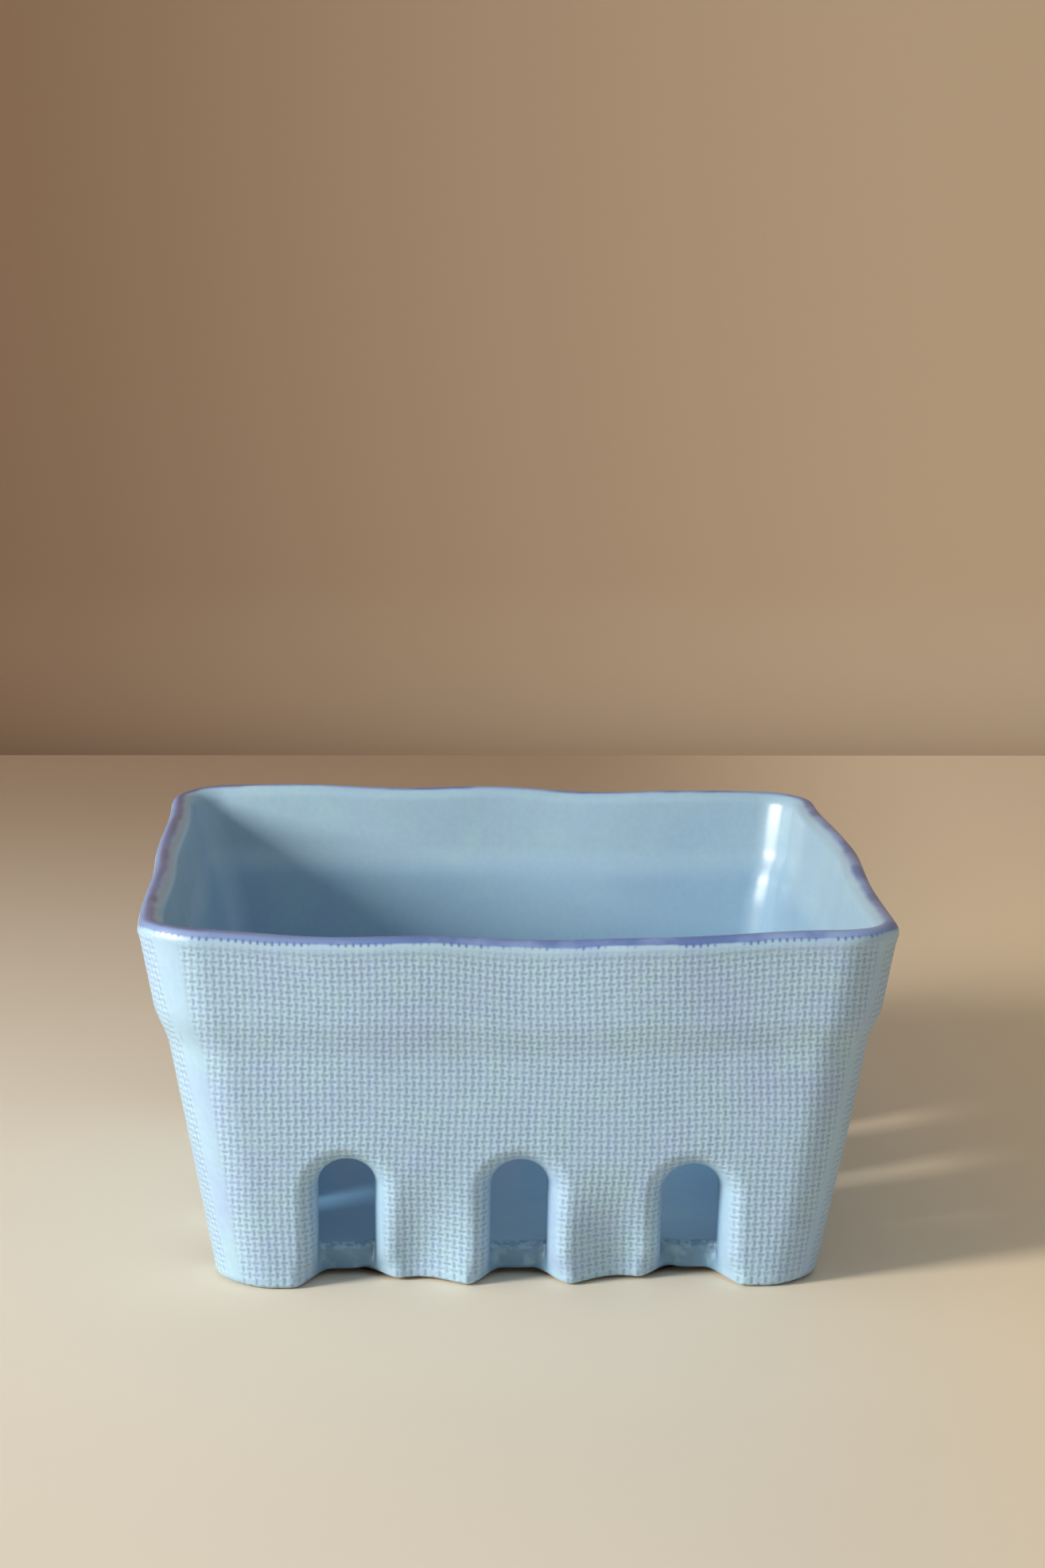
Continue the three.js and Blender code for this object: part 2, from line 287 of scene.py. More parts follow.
table_paper, tree, shader = new_finish("pale table paper")
place = add_node(tree, "ShaderNodeNewGeometry").outputs["Position"]
spread = axes(tree, place)
# Painted shade and painted light over the table paper, steered by the place on the table.
far_light_share = smooth_range(tree, spread["Y"], 0.0, BACKDROP_DISTANCE, 0.0, FAR_LIGHT_SHARE)
right_light_share = smooth_range(tree, spread["X"], *RIGHT_SIDE)
shade_share = smooth_range(tree, towards(tree, place, LAMP_SIDE), *SHADE_REACH, 0.0, SHADE_SHARE)
paper = blend_colours(tree, cloudy(tree, place, PAPER_CLOUDS), PAPER_PALE, PAPER_BRIGHT)
paper = blend_colours(tree, right_light_share, paper, PAPER_RIGHT_FILL_LIGHT)
far_painted_light = blend_colours(tree, right_light_share, PAPER_FAR_LEFT_SHADE, PAPER_FAR_RIGHT_LIGHT)
paper = blend_colours(tree, far_light_share, paper, far_painted_light)
dress(tree, shader, blend_colours(tree, shade_share, paper, PAPER_SHADE), PAPER_ROUGHNESS)
table.data.materials.append(table_paper)

backdrop_paper, tree, shader = new_finish("warm backdrop paper")
geometry = add_node(tree, "ShaderNodeNewGeometry").outputs
# Painted shade on the left of the backdrop, painted light on its right.
backdrop_light_share = smooth_range(tree, axes(tree, geometry["Position"])["X"], *BACKDROP_BLEND)
dress(tree, shader, blend_colours(tree, backdrop_light_share, BACKDROP_LEFT_SHADE, BACKDROP_RIGHT_LIGHT), BACKDROP_ROUGHNESS)
see_through = add_node(tree, "ShaderNodeBsdfTransparent").outputs["BSDF"]
two_faces = {0: geometry["Backfacing"], 1: shader.outputs["BSDF"], 2: see_through}
one_sided = add_node(tree, "ShaderNodeMixShader", two_faces)
plug(tree, tree.nodes["Material Output"].inputs["Surface"], one_sided.outputs["Shader"])
backdrop.data.materials.append(backdrop_paper)

print("Stage:", table.name, "and", backdrop.name)

# %% [markdown]
# The key light is a soft panel on the left and a little in front. It leaves the right side darker and
# lays a soft shadow on the table to the right. Two wider panels near it are kept out of the diffuse
# light and only show as reflections, a low sheen and a brighter glint in the glossy inside, while the
# key panel itself is not mirrored. That way shadow and gloss can be set apart from each other. The rest
# of the room is a dim sky, brighter above and on the right like a pale wall, which fills the shadows.

# %% Lights
BASKET_MIDDLE = Vector((0.0, 0.0, 0.035))
PANEL_DISTANCE = 1.05
PANEL_TINT = (1.0, 0.98, 0.94)
KEY_DIRECTION = Vector((-0.80, -0.44, 0.36))
KEY_WIDTH = 0.21
KEY_HEIGHT = 0.32
KEY_POWER = 12.0
GLOSS_DIRECTION = Vector((-0.80, -0.45, 0.16))
GLOSS_WIDTH = 1.0
GLOSS_HEIGHT = 0.42
GLOSS_POWER = 20.0
GLINT_WIDTH = 0.60
GLINT_POWER = 10.0
ROOM_TINT = linear("E6EEF8")
ROOM_BRIGHT_SIDE = (0.40, -0.12, 0.85)
ROOM_TURN = (-0.1, 1.0)
ROOM_DIM = 0.17
ROOM_BRIGHT = 0.55


def light_panel(name, direction, width, height, power):
    """A rectangular panel that faces the basket from a direction."""
    light = bpy.data.lights.new(name, "AREA")
    light.shape = "RECTANGLE"
    light.size = width
    light.size_y = height
    light.energy = power
    light.color = PANEL_TINT
    panel = bpy.data.objects.new(name, light)
    panel.location = BASKET_MIDDLE + direction.normalized() * PANEL_DISTANCE
    panel.rotation_euler = (-direction).to_track_quat("-Z", "Y").to_euler()
    panel.visible_camera = False
    bpy.context.scene.collection.objects.link(panel)
    return panel


key_panel = light_panel("key panel", KEY_DIRECTION, KEY_WIDTH, KEY_HEIGHT, KEY_POWER)
gloss_panel = light_panel("gloss panel", GLOSS_DIRECTION, GLOSS_WIDTH, GLOSS_HEIGHT, GLOSS_POWER)
glint_panel = light_panel("glint panel", KEY_DIRECTION, GLINT_WIDTH, KEY_HEIGHT, GLINT_POWER)
key_panel.visible_glossy = False
gloss_panel.visible_diffuse = False
glint_panel.visible_diffuse = False

world = bpy.data.worlds.new("dim room")
world.use_nodes = True
tree = world.node_tree
outlook = add_node(tree, "ShaderNodeTexCoord").outputs["Generated"]
facing = towards(tree, outlook, ROOM_BRIGHT_SIDE)
room = tree.nodes["Background"]
plug(tree, room.inputs["Color"], ROOM_TINT)
plug(tree, room.inputs["Strength"], smooth_range(tree, facing, *ROOM_TURN, ROOM_DIM, ROOM_BRIGHT))
bpy.context.scene.world = world
bpy.context.scene.view_settings.view_transform = "Standard"
print("Key panel in millimetres:", in_millimetres(key_panel.location))

# %% [markdown]
# ## The form of the clay
# The bowl is a rounded square that widens from foot to rim, with a soft shoulder below the rim. Three
# arched vents stand along the foot of each wall. Their lips were rolled inwards while the clay was
# soft, and the piers between them were drawn back where they meet the table. Rather than sculpting,
# each of these is a small formula of height, place along the wall and distance from a vent, with the
# same sizes as the CAD model. Formulas for whole arrays of points run quickly and meet exactly.

# %% Sizes and form
RIM_WIDTH = 0.140
FOOT_WIDTH = 0.1134
HEIGHT = 0.0698
RIM_CORNER_RADIUS = 0.012
FOOT_CORNER_RADIUS = 0.011
SHOULDER_START = 0.046
SHOULDER_END = 0.054
SHOULDER_STEP = 0.00125
INNER_SHOULDER_START = 0.0515
INNER_SHOULDER_END = 0.0575
WALL = 0.0045
FLOOR_TOP = 0.0065
VENT_HALF_WIDTH = 0.00525
VENT_SPRING = 0.01935
VENT_TOP_OFFSETS = (0.0003, 0.0, -0.001)
VENT_PITCH = 0.0322
LIP_WIDTH = 0.0046
LIP_DEPTH = 0.008
LIP_LAND = 0.002
LIP_BACK_LAND = 0.0024
LIP_BACK_SPREAD = 0.0075
PIER_SETBACK = 0.005
PIER_CENTRE = 0.019
PIER_SPREAD = 0.0135
PIER_TOP = 0.027


def smoothstep(value, start, end):
    share = np.clip((value - start) / (end - start), 0.0, 1.0)
    return share * share * (3.0 - 2.0 * share)


def quarter_round(distance, radius):
    """How far a rounded edge falls away, at a distance from that edge."""
    turn = 1.0 - np.clip(distance / radius, 0.0, 1.0)
    return radius * (1.0 - np.sqrt(1.0 - turn * turn))


def half_width(height):
    slope = (RIM_WIDTH - FOOT_WIDTH) / 2 - SHOULDER_STEP
    shoulder = SHOULDER_STEP * smoothstep(height, SHOULDER_START, SHOULDER_END)
    return FOOT_WIDTH / 2 + slope * height / HEIGHT + shoulder


def shoulder_delay(height):
    """How far the inside stays behind the outside, because the shoulder begins higher there."""
    outer = smoothstep(height, SHOULDER_START, SHOULDER_END)
    return SHOULDER_STEP * (outer - smoothstep(height, INNER_SHOULDER_START, INNER_SHOULDER_END))


def corner_radius(height):
    return FOOT_CORNER_RADIUS + (RIM_CORNER_RADIUS - FOOT_CORNER_RADIUS) * height / HEIGHT


def straight_end(height):
    return half_width(height) - corner_radius(height)


def corner_length(hand, turn, height):
    """Place along a wall, measured round the corner at its end, of a point at a turn in degrees."""
    return hand * (straight_end(height) + corner_radius(height) * np.radians(turn))


def pier_setback(along, height):
    away = np.minimum(1.0, np.abs(np.abs(along) - PIER_CENTRE) / PIER_SPREAD)
    return PIER_SETBACK * (1.0 + np.cos(np.pi * away)) / 2 * (1.0 - smoothstep(height, 0.0, PIER_TOP))


def rolled_lip(reach):
    """Depth of the lip behind the wall's slope, at a reach from the edge of a vent."""
    return LIP_DEPTH / LIP_WIDTH * quarter_round(reach, LIP_WIDTH)


def lip_back(reach):
    """How far the back of a lip stands into the bowl, at a reach from the edge of a vent."""
    return (LIP_DEPTH + LIP_LAND - WALL) * (1.0 - smoothstep(reach, LIP_BACK_LAND, LIP_BACK_SPREAD))


print("Half width at foot and rim in millimetres:", in_millimetres([half_width(0.0), half_width(HEIGHT)]))

# %% [markdown]
# Hands left the rim uneven. It waves up and down and sways in plan, its two front corners are lifted,
# its left side is pushed out a little, and its two right corners are pressed in, the back one most. All
# of this grows from nothing low on the walls and depends only on the bearing round the bowl, so
# neighbouring pieces bend alike and stay closed. The bearing is 0 in front and grows towards the right.

# %% Unevenness left by the hand
RIM_WAVES = ((11, 0.0003, 17.0), (3, 0.00045, -148.0))
RIM_SWAYS = ((9, 0.0004, -62.0),)
RIM_LIFTS = ((0.0017, -44.0, 12.0), (0.0019, 38.0, 14.0))
RIM_PRESSES = ((-0.0034, 137.0, 25.0), (0.0009, -70.0, 40.0), (-0.0009, 52.0, 25.0))
HAND_START = 0.024
FULL_TURN = 360.0
NEARLY_ZERO = 1e-12

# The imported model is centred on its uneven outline, so the middle of its floor lies a little off.
floor_low, floor_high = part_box("floor_slab")
FRAME_SHIFT = np.array([(floor_low[axis] + floor_high[axis]) / 2 for axis in (0, 1)] + [0.0])


def wave_sum(bearing, waves):
    """Waves round the bowl, each given as number of lobes, size and bearing of a crest."""
    return sum(size * np.cos(np.radians(lobes * (bearing - start))) for lobes, size, start in waves)


def thumb_sum(bearing, thumbs):
    """Single bumps round the bowl, each given as size, bearing and spread."""
    total = 0.0
    for size, start, spread in thumbs:
        turn = (bearing - start + FULL_TURN / 2) % FULL_TURN - FULL_TURN / 2
        total = total + size * np.exp(-((turn / spread) ** 2))
    return total


def hand_formed(points):
    """Bends the true form the way hands left it, and shifts it into the frame."""
    x, y, z = points.T
    bearing = np.degrees(np.arctan2(x, -y))
    grown = smoothstep(z, HAND_START, HEIGHT)
    push = grown * (wave_sum(bearing, RIM_SWAYS) + thumb_sum(bearing, RIM_PRESSES))
    rise = grown * (wave_sum(bearing, RIM_WAVES) + thumb_sum(bearing, RIM_LIFTS))
    away = np.maximum(np.hypot(x, y), NEARLY_ZERO)
    return np.stack([x + push * x / away, y + push * y / away, z + rise], axis=1) + FRAME_SHIFT


def turned_to_side(side, points):
    """Points given along a wall, out from the middle and up, turned to their side of the bowl."""
    along, out, height = np.moveaxis(points, -1, 0)
    angle = side * math.pi / 2
    cosine = round(math.cos(angle))
    sine = round(math.sin(angle))
    return np.stack([along * cosine + out * sine, along * sine - out * cosine, height], axis=-1)


print("Shift of the frame in millimetres:", in_millimetres(FRAME_SHIFT))

# %% [markdown]
# ## The print of the cloth
# The outside of the clay was rolled or pressed on coarse plain-woven cloth. Where a thread passed over,
# it left a short dent, upright and crosswise dents taking turns like a chessboard, and the clay rose in
# little pillows between them. The dents are pressed into the mesh here as smooth waves, and the same
# thread coordinates go along as a UV map, so that the glaze can pool in exactly these dents later.

# %% Thread coordinates and relief
THREAD_PITCH_ACROSS = 0.00133
THREAD_PITCH_UP = 0.00128
ACROSS_SWAYS = ((0.16, 0.0093, 0.031, 0.0), (0.10, 0.0041, -0.012, 0.0))
UP_SWAYS = ((0.22, math.inf, 0.0141, 1.0), (0.12, 0.008, 0.0052, 0.0))
CLOTH_DEPTH = 0.0001
UPRIGHT_SHARE = 0.65
SLOPE_STRETCH = math.hypot(1.0, (RIM_WIDTH - FOOT_WIDTH) / 2 / HEIGHT)


def sway(along, height, waves):
    """Waves over a wall, each given as size, length up the wall, length along it and start."""
    return sum(size * np.sin(height / up + along / across + start) for size, up, across, start in waves)


def thread_coordinates(along, height):
    """Threads counted across and up, with the slight sway of real cloth."""
    across = along / THREAD_PITCH_ACROSS + sway(along, height, ACROSS_SWAYS)
    up = height * SLOPE_STRETCH / THREAD_PITCH_UP + sway(along, height, UP_SWAYS)
    return np.stack([across, up], axis=-1)


def print_depth(threads, marks):
    """Depth of the print, from nothing on a pillow to most in a dent; the marks say how much shows."""
    across, up = np.moveaxis(threads, -1, 0)
    chequer = np.cos(np.pi * across) * np.cos(np.pi * up)
    upright = UPRIGHT_SHARE * np.cos(np.pi * across) ** 2 * (0.5 + 0.5 * chequer)
    crosswise = np.cos(np.pi * up) ** 2 * (0.5 - 0.5 * chequer)
    return CLOTH_DEPTH * marks[..., 0] * (upright + crosswise * marks[..., 1])


print(f"{RIM_WIDTH / THREAD_PITCH_ACROSS:.0f} threads across, {HEIGHT / THREAD_PITCH_UP:.0f} up a wall")

# %% [markdown]
# The print does not show everywhere. It fades out on the rim and is worn off the rolled lips, more on
# the right lip of each vent, where the thumb wiped. At the left end of each wall it stops at a smooth
# upright band, where two slabs were pressed together, and at the right end it runs to the seam. The
# crosswise threads fade at the very foot. These shares are kept as marks of each point, because the
# relief and the glaze both need them.

# %% Where the cloth shows
CLOTH_FULL_TOP = 0.0652
CLOTH_FADE_TOP = 0.0692
CROSS_FADE_FOOT = 0.0012
CROSS_FULL_FOOT = 0.0034
SEAM_START_FOOT = (27.0, 35.0, 27.0, 27.0)
SEAM_START_RIM = (17.0, 35.0, 17.0, 17.0)
SEAM_BLEND = 9.0
LAP_START = 36.0
LAP_END = 44.0
LEFT_LIP_CLOTH = (0.25, 0.8)
RIGHT_LIP_CLOTH = (0.05, 0.35)


def cloth_marks(height, lip_fade=1.0, turn=None, hand=1, side=0):
    """Cloth, crosswise share and inside mark of outside points; a turn is given in corners only."""
    cloth = lip_fade * (1.0 - smoothstep(height, CLOTH_FULL_TOP, CLOTH_FADE_TOP))
    if turn is not None:
        foot = SEAM_START_FOOT[side]
        start = foot + (SEAM_START_RIM[side] - foot) * height / HEIGHT
        left = 1.0 - smoothstep(turn, start, start + SEAM_BLEND)
        right = 1.0 - smoothstep(turn, LAP_START, LAP_END)
        cloth = cloth * (left if hand < 0 else right)
    cross = smoothstep(height, CROSS_FADE_FOOT, CROSS_FULL_FOOT)
    cloth, cross = np.broadcast_arrays(cloth, cross)
    return np.stack([cloth, cross, np.zeros_like(cloth)], axis=-1)


def cloth_on_lip(along, depth_share):
    """Share of the print left on a lip, at a share of the lip's depth."""
    vent = np.clip(np.round(along / VENT_PITCH), -1, 1)
    right = smoothstep(along - vent * VENT_PITCH, -VENT_HALF_WIDTH, VENT_HALF_WIDTH)
    left_share = 1.0 - smoothstep(depth_share, *LEFT_LIP_CLOTH)
    right_light_share = 1.0 - smoothstep(depth_share, *RIGHT_LIP_CLOTH)
    return left_share * (1.0 - right) + right_light_share * right


def smooth_marks(shape, inside):
    """Marks of smooth clay: no cloth, and how far each point counts as inside."""
    marks = np.zeros((*shape, 3))
    marks[..., 2] = inside
    return marks


print("The print fades between", in_millimetres([CLOTH_FULL_TOP, CLOTH_FADE_TOP]), "mm up")

# %% [markdown]
# ## Gathering grids into pieces
# Each piece is gathered from rectangular grids of points: round a vent, above the vents, round a
# corner. A grid carries its thread coordinates, its place in the bake map and the three marks: how much
# cloth shows, how much of the crosswise threads, and how far the point counts as inside. On the rim the
# third mark is the share of the way round its section instead. Welding at the end merges the points
# that neighbouring grids share, so that each piece is one closed skin. Two lines with different numbers
# of points are zipped together with triangles.

# %% Grid collector
WELD_STEP = 1e-8
NANOMETRES = 1e9


class ClayPiece:
    """Grids of points that are welded into one closed mesh."""

    WIDTHS = {"points": 3, "threads": 2, "bakes": 2, "marks": 3}

    def __init__(self):
        self.stores = {name: [] for name in (*self.WIDTHS, "quads", "coats")}
        self.count = 0

    def add_points(self, *layers):
        """Stores points, threads, bakes and marks, and returns the numbers of the points."""
        rows, columns = layers[0].shape[:2]
        for (name, width), values in zip(self.WIDTHS.items(), layers):
            whole = np.broadcast_to(values, (rows, columns, width))
            self.stores[name].append(whole.reshape(-1, width))
        numbers = np.arange(rows * columns).reshape(rows, columns) + self.count
        self.count += rows * columns
        return numbers

    def add_faces(self, quads, flip, coat):
        self.stores["quads"].append(quads[:, ::-1] if flip else quads)
        self.stores["coats"].append(np.full(len(quads), coat))

    def add_grid(self, points, threads, bakes, marks, flip=False, coat=0):
        numbers = self.add_points(points, threads, bakes, marks)
        quads = np.stack([numbers[:-1, :-1], numbers[:-1, 1:], numbers[1:, 1:], numbers[1:, :-1]], axis=-1)
        self.add_faces(quads.reshape(-1, 4), flip, coat)

    def add_zip(self, first, second, threads, first_bakes, second_bakes, marks, flip=False, coat=0):
        """Joins two lines of points with triangles, stored as quads that repeat a corner."""
        low = self.add_points(first[None], threads, first_bakes, marks)[0]
        high = self.add_points(second[None], threads, second_bakes, marks)[0]
        quads = []
        i = 0
        j = 0
        while i + 1 < len(low) or j + 1 < len(high):
            ahead = (i + 1) * (len(high) - 1) <= (j + 1) * (len(low) - 1)
            if i + 1 < len(low) and (ahead or j + 1 == len(high)):
                quads.append((low[i], low[i + 1], high[j], high[j]))
                i += 1
            else:
                quads.append((low[i], low[i], high[j + 1], high[j]))
                j += 1
        self.add_faces(np.array(quads), flip, coat)

    def weld(self):
        """Merges shared points, and sorts the faces into whole quads and triangles."""
        joined = {name: np.concatenate(values) for name, values in self.stores.items()}
        keys = np.round(joined["points"] / WELD_STEP).astype(np.int64)
        _, first, merged = np.unique(keys, axis=0, return_index=True, return_inverse=True)
        merged = merged.ravel()
        quads = joined["quads"]
        faces = merged[quads]
        repeats = faces == np.roll(faces, -1, axis=1)
        whole = repeats.sum(axis=1) == 0
        blocks = [quads[whole]]
        coats = [joined["coats"][whole]]
        for place in range(quads.shape[1]):
            single = (repeats.sum(axis=1) == 1) & repeats[:, place]
            blocks.append(np.delete(quads[single], place, axis=1))
            coats.append(joined["coats"][single])
        blocks = [block for block in blocks if len(block)]
        corners = np.concatenate([block.ravel() for block in blocks])
        self.faces = [merged[block] for block in blocks]
        self.face_coats = np.concatenate(coats)
        self.vertices = hand_formed(joined["points"][first])
        self.vertex_marks = joined["marks"][first]
        self.corner_threads = joined["threads"][corners]
        self.corner_bakes = joined["bakes"][corners]
        return self


def rows_between(first, second, steps=1):
    """Rows of points from one line to another."""
    shares = np.linspace(0.0, 1.0, steps + 1)[:, None, None]
    return first[None] * (1.0 - shares) + second[None] * shares


print(f"Points closer than {WELD_STEP * NANOMETRES:.0f} nanometres are welded")

# %% [markdown]
# ## One wall
# The stations of a wall run up the left jamb of each vent, over its arch and down the right jamb. From
# every station a ray leads outwards over the rolled lip to the border of that vent's patch. Above the
# patches stand plain columns, and at both ends half a round corner reaches the mitre with the next
# wall. Stations are about a third of a millimetre apart, fine enough for the print.

# %% Stations of a wall
PATCH_TOP = 0.0341
FOOT_STEPS = 14
LEG_STEPS = 36
SIDE_STEPS = 42
INNER_HALF_STEPS = 43
OUTER_HALF_STEPS = 58
FOOT_CROWDING = 1.5
VENT_CENTRES = tuple((number - 1) * VENT_PITCH for number in range(len(VENT_TOP_OFFSETS)))


def leg_heights(spring):
    foot = FLOOR_TOP * np.linspace(0.0, 1.0, FOOT_STEPS + 1) ** FOOT_CROWDING
    leg = np.linspace(FLOOR_TOP, spring, LEG_STEPS + 1)
    return np.concatenate([foot, leg[1:]])


def outermost(vent, hand):
    return vent == (0 if hand < 0 else len(VENT_CENTRES) - 1)


def half_steps(vent, hand):
    return OUTER_HALF_STEPS if outermost(vent, hand) else INNER_HALF_STEPS


def patch_border(vent, hand, height):
    if outermost(vent, hand):
        return hand * straight_end(height)
    return np.full_like(height, VENT_CENTRES[vent] + hand * VENT_PITCH / 2)


def vent_stations(vent):
    """Edge point, direction and border point of each station round a vent, from left to right."""
    centre = VENT_CENTRES[vent]
    spring = VENT_SPRING + VENT_TOP_OFFSETS[vent]
    leg_borders = leg_heights(VENT_SPRING)
    leg_edges = leg_heights(spring)
    side_heights = np.linspace(VENT_SPRING, PATCH_TOP, SIDE_STEPS + 1)[1:]
    sides = []
    for hand in (-1, 1):
        leg = np.stack([
            np.full_like(leg_edges, centre + hand * VENT_HALF_WIDTH), leg_edges,
            np.full_like(leg_edges, float(hand)), np.zeros_like(leg_edges),
            patch_border(vent, hand, leg_borders), leg_borders,
        ], axis=1)
        end = patch_border(vent, hand, np.array([PATCH_TOP]))[0]
        top_alongs = np.linspace(end, centre, half_steps(vent, hand) + 1)[1:]
        border_along = np.concatenate([patch_border(vent, hand, side_heights), top_alongs])
        border_height = np.concatenate([side_heights, np.full_like(top_alongs, PATCH_TOP)])
        reach = np.hypot(border_along - centre, border_height - spring)
        way_along = (border_along - centre) / reach
        way_up = (border_height - spring) / reach
        fan = np.stack([
            centre + VENT_HALF_WIDTH * way_along, spring + VENT_HALF_WIDTH * way_up,
            way_along, way_up, border_along, border_height,
        ], axis=1)
        sides.append(np.concatenate([leg, fan]))
    return np.concatenate([sides[0], sides[1][-2::-1]])


def column_alongs(height):
    """Places of the upper columns along a wall at the given heights, one row per height."""
    height = np.atleast_1d(height)
    rows = []
    for vent, centre in enumerate(VENT_CENTRES):
        for hand in (-1, 1):
            end = patch_border(vent, hand, height)[:, None]
            shares = np.linspace(0.0, 1.0, half_steps(vent, hand) + 1)[None]
            half = end * (1.0 - shares) + centre * shares
            half = half if hand < 0 else half[:, ::-1]
            rows.append(half if not rows else half[:, 1:])
    return np.concatenate(rows, axis=1)


print(len(vent_stations(0)), "stations round an outer vent,", column_alongs(PATCH_TOP).size, "upper columns")

# %% [markdown]
# The two faces of a wall follow the CAD formulas, with the softness that glaze and fingers give. The
# foot is rounded where it meets the table, more in the corners, and is lifted a little under sills and
# piers. Below each sill a valley opens towards the table. The edge of each vent is rounded on the
# inside, and the inside runs into the floor with a fillet that fades out behind the lips.

# %% Faces of a wall
FOOT_ROUND = 0.0010
CORNER_FOOT_ROUND = 0.0018
CORNER_SOFT_TURN = 40.0
SILL_LIFT = 0.001
PIER_LIFT = 0.0004
SILL_ROUND = 0.0012
SILL_END_POWER = 4
VENT_EDGE_ROUND = 0.0009
VENT_EDGE_BLEND = 0.0015
VALLEY_FLAT = 0.0029
VALLEY_END = 0.0103
VALLEY_FULL = 0.0008
LIP_GLOSS = 0.7
GLOSS_START = 0.45
FLOOR_FILLET = 0.0028
FLOOR_TOLERANCE = 1e-7
BEAD_SWELL = 0.00014
BEAD_SWELL_HEIGHT = 0.0674
BEAD_SWELL_SPREAD = 0.0010


def bead_swell(height):
    return BEAD_SWELL * np.exp(-(((height - BEAD_SWELL_HEIGHT) / BEAD_SWELL_SPREAD) ** 2))


def floor_fillet(height):
    fillet = quarter_round(height - FLOOR_TOP, FLOOR_FILLET)
    return np.where(height < FLOOR_TOP - FLOOR_TOLERANCE, 0.0, fillet)


def lifted(along, height, depth):
    """Height of a point after the foot is lifted under sills and piers."""
    lift = SILL_LIFT * depth / LIP_DEPTH + PIER_LIFT * pier_setback(along, 0.0) / PIER_SETBACK
    return height + lift * (1.0 - np.clip(height / FLOOR_TOP, 0.0, 1.0))


def vent_depth(height, reach, sill_share):
    """Depth behind the wall's slope: a rolled lip above the sill, which opens into a valley at the foot."""
    from_middle = VENT_HALF_WIDTH + reach if sill_share is None else np.abs(sill_share) * VENT_HALF_WIDTH
    valley = LIP_DEPTH * (1.0 - smoothstep(from_middle, VALLEY_FLAT, VALLEY_END))
    low = 1.0 - smoothstep(height, VALLEY_FULL, FLOOR_TOP)
    return rolled_lip(reach) * (1.0 - low) + valley * low


def outside_face(along, height, reach, sill_share=None):
    """Points, thread coordinates and marks of the outside, away from the corners."""
    depth = vent_depth(height, reach, sill_share)
    marks = cloth_marks(height, cloth_on_lip(along, depth / LIP_DEPTH))
    marks[..., 2] = LIP_GLOSS * smoothstep(depth / LIP_DEPTH, GLOSS_START, 1.0)
    level = lifted(along, height, depth)
    if sill_share is not None:
        softness = SILL_ROUND * (1.0 - np.abs(sill_share) ** SILL_END_POWER)
        depth = depth + quarter_round(FLOOR_TOP - height, np.maximum(softness, NEARLY_ZERO))
    threads = thread_coordinates(along, height)
    out = half_width(height) + bead_swell(height) - depth - pier_setback(along, height)
    out = out - quarter_round(height, FOOT_ROUND) - print_depth(threads, marks)
    return np.stack([along, out, level], axis=-1), threads, marks


def inside_face(along, height, reach):
    """Points, thread coordinates and marks of the inside, away from the corners."""
    above_sill = smoothstep(height, FLOOR_TOP, FLOOR_TOP + VENT_EDGE_BLEND)
    rounded = quarter_round(reach, VENT_EDGE_ROUND) * above_sill
    fillet = floor_fillet(height) * smoothstep(reach, LIP_BACK_LAND, LIP_BACK_SPREAD)
    out = half_width(height) - shoulder_delay(height) - WALL - lip_back(reach) - pier_setback(along, height)
    out = out + rounded - fillet
    level = lifted(along, height, rolled_lip(reach))
    points = np.stack([along, out, level], axis=-1)
    return points, thread_coordinates(along, height), smooth_marks(out.shape, 1.0)


def corner_face(hand, turn, height, inside, side):
    """The half corner at one end of a wall; turn goes in degrees from the straight to the mitre."""
    angle = np.radians(turn)
    end = straight_end(height)
    threads = thread_coordinates(corner_length(hand, turn, height), height)
    if inside:
        radius = corner_radius(height) - shoulder_delay(height) - WALL - floor_fillet(height)
        marks = smooth_marks(threads.shape[:-1], 1.0)
    else:
        marks = cloth_marks(height, 1.0, turn, hand, side)
        softness = FOOT_ROUND + (CORNER_FOOT_ROUND - FOOT_ROUND) * smoothstep(turn, 0.0, CORNER_SOFT_TURN)
        radius = corner_radius(height) + bead_swell(height) - quarter_round(height, softness)
        radius = radius - print_depth(threads, marks)
    level = np.broadcast_to(height, threads.shape[:-1])
    points = np.stack([hand * (end + radius * np.sin(angle)), end + radius * np.cos(angle), level], axis=-1)
    return points, threads, marks


top_point = outside_face(np.array([0.0]), np.array([PATCH_TOP]), np.array([np.inf]))[0][0]
print("Front wall above its middle vent, along, out and up in millimetres:", in_millimetres(top_point))

# %% [markdown]
# Now the grids of one face are laid out: a patch round each vent, the clay below its sill, the columns
# above the patches and half a corner at each end. For the bake map, the outside is laid flat in the
# upper half of a square and the inside in the lower half. Each face hands back its border lines, which
# are needed to close the clay between the two faces.

# %% Lay out the faces of a wall
CORNER_STEPS = 22
LIP_STEPS = 22
FLAT_STEPS = 22
SILL_STEPS = 24
UPPER_STEPS = 92
INSIDE_UPPER_STEPS = 24
INSIDE_RINGS = np.array([0.0, 0.00015, 0.00045, 0.0009, 0.0024, 0.004, 0.0057, LIP_BACK_SPREAD])
MITRE_TURN = 45.0
BEAD_SIDE = 0.00095
BEAD_RADIUS = WALL / 2
BEAD_BOTTOM = HEIGHT - BEAD_RADIUS - BEAD_SIDE
BAKE_SCALE = 7.2
BAKE_MIDDLE = 0.5
BAKE_OUTSIDE = 0.508
BAKE_INSIDE = 0.004
GLAZED = 0
BARE_CLAY = 1


def bake_place(along, height, inside):
    start = BAKE_INSIDE if inside else BAKE_OUTSIDE
    along, height = np.broadcast_arrays(along, height)
    return np.stack([BAKE_MIDDLE + along * BAKE_SCALE, start + height * BAKE_SCALE], axis=-1)


def lip_rings():
    return LIP_WIDTH * (1.0 - np.sin(np.linspace(math.pi / 2, 0.0, LIP_STEPS + 1)))


